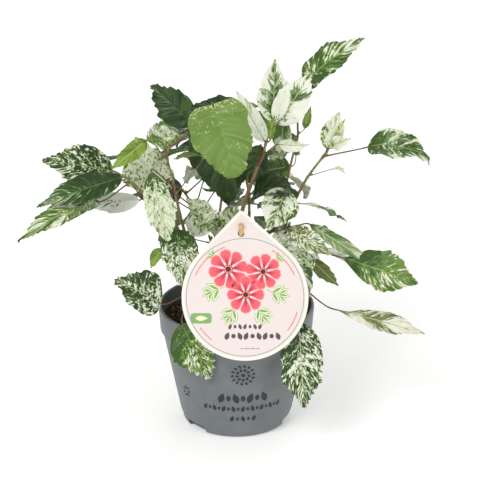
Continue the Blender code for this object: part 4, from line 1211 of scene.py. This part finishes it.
def potProfile():
    # from the middle of the underside, out round the wall and the band, and back in over the floor
    height, rim, wall, lip, step = [pot[name] for name in ("height", "rimRadius", "wall", "lip", "step")]
    foot, corner, ease = pot["footRadius"], pot["footRound"], pot["stepRound"]
    bandFoot, bandRadius, innerTop = height - pot["bandHeight"], rim - pot["bandDraft"], rim - wall - lip
    profile = [*pot["recess"], (foot - corner - 0.006, 0)]
    profile += roundOver((foot - corner, corner), corner, -90, 8, 8)
    profile += [(potWall(h), h) for h in np.linspace(0.010, bandFoot - step - ease, 14)]
    profile += roundOver((potWall(bandFoot) + ease, bandFoot - step - 0.0002), ease, 180, 90, 3)
    profile += roundOver((bandRadius - ease, bandFoot + 0.0002), ease, -90, 0, 3)
    profile += [(bandRadius + (rim - bandRadius) * t, bandFoot + 0.0012 + 0.0160 * t)
                for t in (0, 0.25, 0.5, 0.75, 1)]
    profile += roundOver((rim - lip, height - lip), lip, 0, 90, 5)
    profile += roundOver((innerTop + lip * 0.6, height - lip * 0.6), lip * 0.6, 90, 180, 4)
    profile += [(innerTop - 0.0004, height - 0.006), (potWall(bandFoot) - wall, bandFoot)]
    profile += [(potWall(h) - wall, h) for h in (0.06, 0.03, pot["floor"])]
    return [*profile, (0, pot["floor"])]


def makePot():
    # injection-moulded polypropylene with recycled flake: matte grey, faintly clouded, satin on the rim
    plastic = grainedMaterial("recycledPolypropylene", pot["colour"], 0.5, 1.49, pot["grain"], [
        (0.3, pot["dark"]), (0.5, pot["colour"]), (0.72, pot["pale"])], by=0)
    wall = newBatch(*turnedGrid(potProfile(), pot["segments"]))
    piece = layPiece("pot_body", wall, [plastic], ("pot",), crisp=38)

    bm = bmesh.new()
    for heading in pot["notchHeadings"]:
        added = bmesh.ops.create_cube(bm, size=1)["verts"]
        bmesh.ops.scale(bm, vec=pot["notch"], verts=added)
        bmesh.ops.translate(bm, vec=(pot["footRadius"], 0, 0), verts=added)
        bmesh.ops.rotate(bm, matrix=Matrix.Rotation(math.radians(heading), 3, "Z"), verts=added)
    bmesh.ops.bevel(bm, geom=bm.edges[:], offset=pot["notchRound"], segments=3, affect="EDGES")
    cutter = addObject("notches", meshFrom(bm, "notches"))
    cut = piece.modifiers.new("notches", "BOOLEAN")
    cut.operation = "DIFFERENCE"
    cut.object = cutter
    cut.solver = "EXACT"
    graph = bpy.context.evaluated_depsgraph_get()
    piece.data = bpy.data.meshes.new_from_object(piece.evaluated_get(graph), depsgraph=graph)
    piece.modifiers.clear()
    bpy.data.objects.remove(cutter, do_unlink=True)
    print("pot done")


def addInlay(batch, outline, placeOn, tone, lift, thickness):
    # a thin closed slab of ink: the outline goes round its middle in order
    outline = np.array(outline)
    count = len(outline)
    size = count + 1
    spots = [*outline, outline.mean(0)]
    points = [placeOn(x, y, height) for height in (lift - thickness, lift) for x, y in spots]
    ring = np.arange(count)
    after = np.roll(ring, -1)
    faces = np.concatenate([
        fanFaces(ring + size, count + size),
        fanFaces(ring, count, turned=True),
        np.stack([ring, after, after + size], 1),
        np.stack([ring, after + size, ring + size], 1),
    ])
    x, y = outline.T
    area = np.sum(x * np.roll(y, -1) - np.roll(x, -1) * y)
    addShape(batch, np.array(points), faces if area > 0 else faces[:, ::-1], tone)


def leafShape(x, y, length, width, turn, steps=9, petal=False):
    # a lance-shaped leaf from its foot, or a petal that is broadest near its blunt end
    cosine, sine = trig(turn)
    shares = np.linspace(0, 1, steps)
    if petal:
        swell = np.sqrt(np.clip(np.sin(np.pi * shares**1.9), 0, 1)) * (0.25 + 0.75 * shares**0.7)
    else:
        swell = np.sin(np.pi * shares**0.85)
    swell = width / 2 * swell + 0.00005
    a = np.concatenate([shares, shares[::-1]]) * length
    b = np.concatenate([-swell, swell[::-1]])
    return np.stack([x + a * cosine - b * sine, y + a * sine + b * cosine], 1)


def roundShape(x, y, wide, tall, steps=20):
    angles = 2 * math.pi * np.arange(steps) / steps
    return [(x + wide / 2 * math.cos(a), y + tall / 2 * math.sin(a)) for a in angles]


def stepFrom(x, y, turn, reach):
    cosine, sine = trig(turn)
    return x + reach * cosine, y + reach * sine


def addMarks(put, x, y, count, pitch, wide, tall, marks):
    # a row of small leaves that lean to and fro, with round dots among them
    for i in range(count):
        turn = marks["turns"][i % len(marks["turns"])]
        across = x + pitch * (i - (count - 1) / 2)
        if turn is None:
            dotWide, dotTall, steps = marks["dot"]
            put(roundShape(across, y, wide * dotWide, tall * dotTall, steps))
        else:
            reach = tall * marks["reach"]
            put(leafShape(*stepFrom(across, y, turn, -reach / 2), reach, wide * marks["width"], turn))


potArt = {
    "ink": "#262a2e",
    "grain": (0.0005, 0.00003, (0.52, 0.66), 0.006),
    "lift": 0.00008,
    "thickness": 0.00012,
    "emblem": (0.0055, 0.0640),
    # rings of leaves round the emblem: count, distance out, length, width, lean
    "rings": [(14, 0.0074, 0.0034, 0.0022, 30), (9, 0.0034, 0.0036, 0.0024, -25)],
    "dot": 0.0036,
    # the mark beside it: its leaves, how far across and up from its middle they start, their size
    "side": (-0.0475, 0.0380),
    "sideLeaves": (7, 0.0016, 0.0026, 0.0032, 0.0022),
    # rows of small shapes: height, count, spacing, width, height of each
    "rows": [(0.0405, 7, 0.0060, 0.0054, 0.0104), (0.0300, 17, 0.0040, 0.0034, 0.0062),
             (0.0200, 5, 0.0046, 0.0034, 0.0060)],
    "marks": {"turns": (72, None, 108, None), "dot": (0.7, 0.55, 16), "reach": 1, "width": 1},
}


def potSpot(x, y, lift):
    # a point on the front of the wall from its distance round the wall and its height
    radius = potWall(y)
    turn = -math.pi / 2 + x / radius
    return ((radius + lift) * math.cos(turn), (radius + lift) * math.sin(turn), y)


def printPot():
    # screen-printed ink, matte and almost black
    black = grainedMaterial("screenPrintInk", potArt["ink"], 0.6, 1.5, potArt["grain"])
    ink = newBatch()
    x, y = potArt["emblem"]

    def put(outline):
        addInlay(ink, outline, potSpot, 0, potArt["lift"], potArt["thickness"])

    for count, start, length, width, lean in potArt["rings"]:
        for way in np.arange(count) * 360 / count:
            put(leafShape(*stepFrom(x, y, way, start), length, width, way + lean, 7))
    put(roundShape(x, y, potArt["dot"], potArt["dot"]))
    sideX, sideY = potArt["side"]
    count, wide, tall, length, width = potArt["sideLeaves"]
    for way in np.arange(count) * 360 / count:
        cosine, sine = trig(way)
        put(leafShape(sideX + wide * cosine, sideY + tall * sine, length, width, way, 7))
    for height, *row in potArt["rows"]:
        addMarks(put, x, height, *row, potArt["marks"])
    layPiece("pot_print", ink, [black], crisp=40)
    print("pot print done")


label = {
    "radius": 0.051,
    "thickness": 0.0008,
    "edgeRound": 0.00015,
    "lean": 23.4,
    "middle": (0.007, 0.0305),
    "apex": (0.004, 0.100),
    "apexRound": 0.003,
    "holeUp": 0.084,
    "holeSize": (0.0065, 0.0105),
    "arcPoints": 84,
    "apexPoints": 6,
    "inkThickness": 0.00006,
    "inkLift": 0.00006,
    # round the edge: how far in its two sides lie
    "edgeBand": (0.00025, 0.0024),
    "edgeLift": 0.00003,
    # bands about the middle: the two radii, start and end, steps and ink
    "ring": (0.0475, 0.0470, 0, 357, 120, "ring"),
    "arcs": [(0.0438, 0.0431, start, end, 24, "coral")
             for start, end in ((24, 60), (112, 156), (214, 232), (322, 344))],
    # blossoms: across and up from the middle, radius, petals, turn
    "blossoms": [(-0.0135, 0.0225, 0.0160, 8, 10), (0.0145, 0.0205, 0.0145, 8, 34),
                 (0.0005, 0.0020, 0.0150, 8, 0)],
    # sprigs: across, up, heading, pairs of leaves, leaf length
    "sprigs": [(-0.016, 0.008, 196, 2, 0.0105), (0.017, 0.006, -22, 2, 0.0105),
               (-0.006, -0.006, 232, 2, 0.0100), (0.008, -0.006, 302, 2, 0.0100),
               (-0.022, 0.030, 140, 1, 0.0080), (0.022, 0.028, 30, 1, 0.0080)],
    # rows of small shapes: across, up, count, spacing, width, height
    "rows": [(0.0, -0.0236, 7, 0.0040, 0.0030, 0.0046), (0.006, -0.0312, 9, 0.0051, 0.0044, 0.0062),
             (0.004, -0.0412, 9, 0.0017, 0.0010, 0.0012)],
    "marks": {"turns": (68, None, 112), "dot": (0.8, 0.6, 14), "reach": 1.05, "width": 0.85},
    # a plain tag with rounded ends, and the leaf on it
    "tag": (-0.0353, -0.0169, 0.0085, 0.0042),
    "tagLeaf": (-0.0400, -0.0169, 0.0100, 0.0040, 0),
    "grain": (0.0004, 0.00002, (0.38, 0.48), 0.01),
    "inks": {
        "card": "#e7dad6", "edge": "#f7ede1", "ring": "#84998a", "coral": "#f2616c",
        "coralDeep": "#d23c50", "coralPale": "#f98c8f", "eye": "#4a1f33", "sprig": "#86ab6a",
        "sprigPale": "#e9efc4", "ink": "#5b4d4c",
    },
}


def labelSpot(x, y, lift):
    # a point on the card from its place across and up, and its height over the front face
    cosine, sine = trig(label["lean"])
    normal = Vector((0, -cosine, sine))
    foot = Vector((0, -growth["potRadius"], growth["potHeight"])) + normal * growth["gap"]
    return tuple(foot + Vector((x, sine * y, cosine * y)) + normal * (label["thickness"] + lift))


def labelOutline(inset):
    middle, apex = Vector(label["middle"]), Vector(label["apex"]) - Vector((0, label["apexRound"]))
    toApex = apex - middle
    tilt = math.atan2(toApex.y, toApex.x)
    opening = math.acos((label["radius"] - label["apexRound"]) / toApex.length)
    points = []
    for centre, radius, start, sweep, steps in (
            (middle, label["radius"], tilt + opening, 2 * math.pi - 2 * opening, label["arcPoints"]),
            (apex, label["apexRound"], tilt - opening, 2 * opening, label["apexPoints"])):
        for i in range(steps + 1):
            angle = start + sweep * i / steps
            points.append(tuple(centre + (radius - inset) * Vector((math.cos(angle), math.sin(angle)))))
    return points


def inkTone(name):
    return list(label["inks"]).index(name)


def loopFaces(levels, around):
    # faces over rings of points whose last ring joins the first
    faces = gridFaces(levels + 1, around, wrap=True)
    return np.where(faces >= levels * around, faces - levels * around, faces)


def addBand(batch, left, right, name, lift, closed=False):
    # a thin closed strip of ink between two lines of points
    low = lift - label["inkThickness"]
    lines = ((left, lift), (right, lift), (right, low), (left, low))
    points = np.array([[labelSpot(x, y, height) for x, y in line] for line, height in lines])
    points = points.transpose(1, 0, 2).reshape(-1, 3)
    if closed:
        faces = loopFaces(len(left), 4)
    else:
        last = len(points) - 4
        caps = [[0, 2, 1], [0, 3, 2], [last, last + 1, last + 2], [last, last + 2, last + 3]]
        faces = np.concatenate([gridFaces(len(left), 4, wrap=True), caps])
    addShape(batch, points, faces, inkTone(name))


def addArc(batch, outer, inner, start, end, steps, name, closed=False):
    x, y = label["middle"]
    sides = [[(x + radius * math.cos(a), y + radius * math.sin(a))
              for a in np.radians(np.linspace(start, end, steps))] for radius in (outer, inner)]
    addBand(batch, *sides, name, label["inkLift"], closed)


def blossom(put, x, y, radius, petals, turn):
    # a round flower of broad petals
    for i in range(petals):
        way = turn + 360 * i / petals
        foot = stepFrom(x, y, way, radius * 0.12)
        lift = 0.00010 + 0.00003 * (i % 3)
        put(leafShape(*foot, radius * 0.90, radius * 0.66, way, 12, petal=True), "coralPale", lift)
        put(leafShape(*foot, radius * 0.84, radius * 0.57, way, 12, petal=True), "coral", lift + 0.00001)
        for lean in (-9, 0, 9):
            reach = radius * (0.62 - 0.004 * abs(lean))
            put(leafShape(*foot, reach, radius * 0.05, way + lean, 6), "coralDeep", 0.00020)
    put(roundShape(x, y, radius * 0.46, radius * 0.46), "coralDeep", 0.00024)
    put(roundShape(x, y, radius * 0.24, radius * 0.24), "eye", 0.00028)
    for i in range(9):
        spot = stepFrom(x, y, 40 * i + turn, radius * 0.17)
        put(roundShape(*spot, radius * 0.055, radius * 0.055, 7), "sprigPale", 0.00030)


def sprig(batch, put, x, y, turn, count, size):
    # a bending stem with paired leaves, pale with a green middle
    bend = math.degrees(0.10)
    line = [(x, y)]
    for i in range(count):
        line.append(stepFrom(*line[-1], turn + bend * i, size * 0.55))
    addBand(batch, [(a + 0.0003, b + 0.0003) for a, b in line], line, "sprig", 0.00005)
    for i, spot in enumerate(line[1:], 1):
        reach = size * (1.25 - 0.45 * i / count)
        for lean in (-46, 46, 0) if i == count else (-46, 46):
            lift = 0.00004 if lean else 0.00007
            for long, wide, name in ((1, 0.50, "sprig"), (0.94, 0.42, "sprigPale"), (0.8, 0.20, "sprig")):
                put(leafShape(*spot, reach * long, reach * wide, turn + bend * i + lean), name, lift)
                lift += 0.00001


def makeLabel():
    # coated card, printed: smooth and softly shiny, with a faint tooth of paper fibre
    inks = [grainedMaterial(("coatedCard_" if name == "card" else "offsetInk_") + name, colour, 0.42, 1.5,
                            label["grain"]) for name, colour in label["inks"].items()]
    thickness, ease = label["thickness"], label["edgeRound"]
    outer, inner = labelOutline(0), labelOutline(ease)
    holeX, holeY = label["apex"][0], label["holeUp"]
    wide, tall = label["holeSize"]
    angles = [math.atan2(y - holeY, x - holeX) for x, y in outer]
    hole = [(holeX + wide / 2 * math.cos(a), holeY + tall / 2 * math.sin(a)) for a in angles]
    rings = [(hole, -thickness), (inner, -thickness), (outer, ease - thickness), (outer, -ease), (inner, 0),
             (hole, 0)]
    points = np.array([labelSpot(x, y, lift) for ring, lift in rings for x, y in ring])
    card = newBatch(points, loopFaces(len(rings), len(outer))[:, ::-1])
    layPiece("label_card", card, inks, ("label",), crisp=40)

    ink = newBatch()
    x, y = label["middle"]

    def put(outline, name="ink", lift=label["inkLift"]):
        addInlay(ink, outline, labelSpot, inkTone(name), lift, label["inkThickness"])

    edges = [labelOutline(inset) for inset in label["edgeBand"]]
    addBand(ink, *edges, "edge", label["edgeLift"], closed=True)
    addArc(ink, *label["ring"], closed=True)
    for arc in label["arcs"]:
        addArc(ink, *arc)
    for across, up, *rest in label["sprigs"]:
        sprig(ink, put, x + across, y + up, *rest)
    for across, up, *rest in label["blossoms"]:
        blossom(put, x + across, y + up, *rest)
    for across, up, *row in label["rows"]:
        addMarks(put, x + across, y + up, *row, label["marks"])
    across, up, wide, tall = label["tag"]
    square = np.array(roundShape(0, 0, 2, 2, 32))
    square = np.sign(square) * np.abs(square) ** 0.4
    put(square * (wide, tall) + (x + across, y + up), "sprig")
    across, up, *size = label["tagLeaf"]
    put(leafShape(x + across, y + up, *size), "sprigPale", 0.00010)
    layPiece("label_print", ink, inks, crisp=40)
    print("label done")


cane = {
    "radius": 0.0020,
    "sides": 28,
    "steps": 90,
    "foot": (0.007, -0.016),
    "sunk": 0.002,
    "proud": 0.006,
    "knots": (0.022, 0.052, 0.079),
    "knot": (0.16, 0.0009),     # share of the radius, and spread
    "slim": 0.97,
    "fibres": (9, 0.012),
    "colour": "#cda878",
    "dark": "#a98257",
    "pale": "#e2c79c",
    "grain": (0.0006, 0.0001, (0.42, 0.6), 0.006, (1, 1, 0.12)),
}


def makeCane():
    # split bamboo, dried: tan, faintly glossy skin with long fibres and darker joints
    bamboo = grainedMaterial("driedBamboo", cane["colour"], 0.5, 1.47, cane["grain"], [
        (0.3, cane["dark"]), (0.5, cane["colour"]), (0.7, cane["pale"])])
    start = Vector((*cane["foot"], growth["soilTop"] - cane["sunk"]))
    through = Vector(labelSpot(label["apex"][0], label["holeUp"], -label["thickness"] / 2))
    end = through + (through - start).normalized() * cane["proud"]
    steps = cane["steps"]
    curve = [start + (end - start) * i / steps for i in range(steps + 1)]

    def joints(gone, angles):
        (high, spread), (count, fibre) = cane["knot"], cane["fibres"]
        swell = sum(high * bump(gone - knot, spread) for knot in cane["knots"])
        return 1 + swell + fibre * np.cos(count * angles)

    radii = [cane["radius"] * cane["slim"]] * len(curve)
    tube = newBatch(*tubeShape(curve, radii, cane["sides"], joints))
    layPiece("label_cane_bamboo", tube, [bamboo], ("label_cane",), crisp=45)
    print("cane done")


setUpStudio()
makePot()
printPot()
fillSoil()
makeLabel()
makeCane()
growLimbs()
growMasses()

bpy.context.view_layer.update()
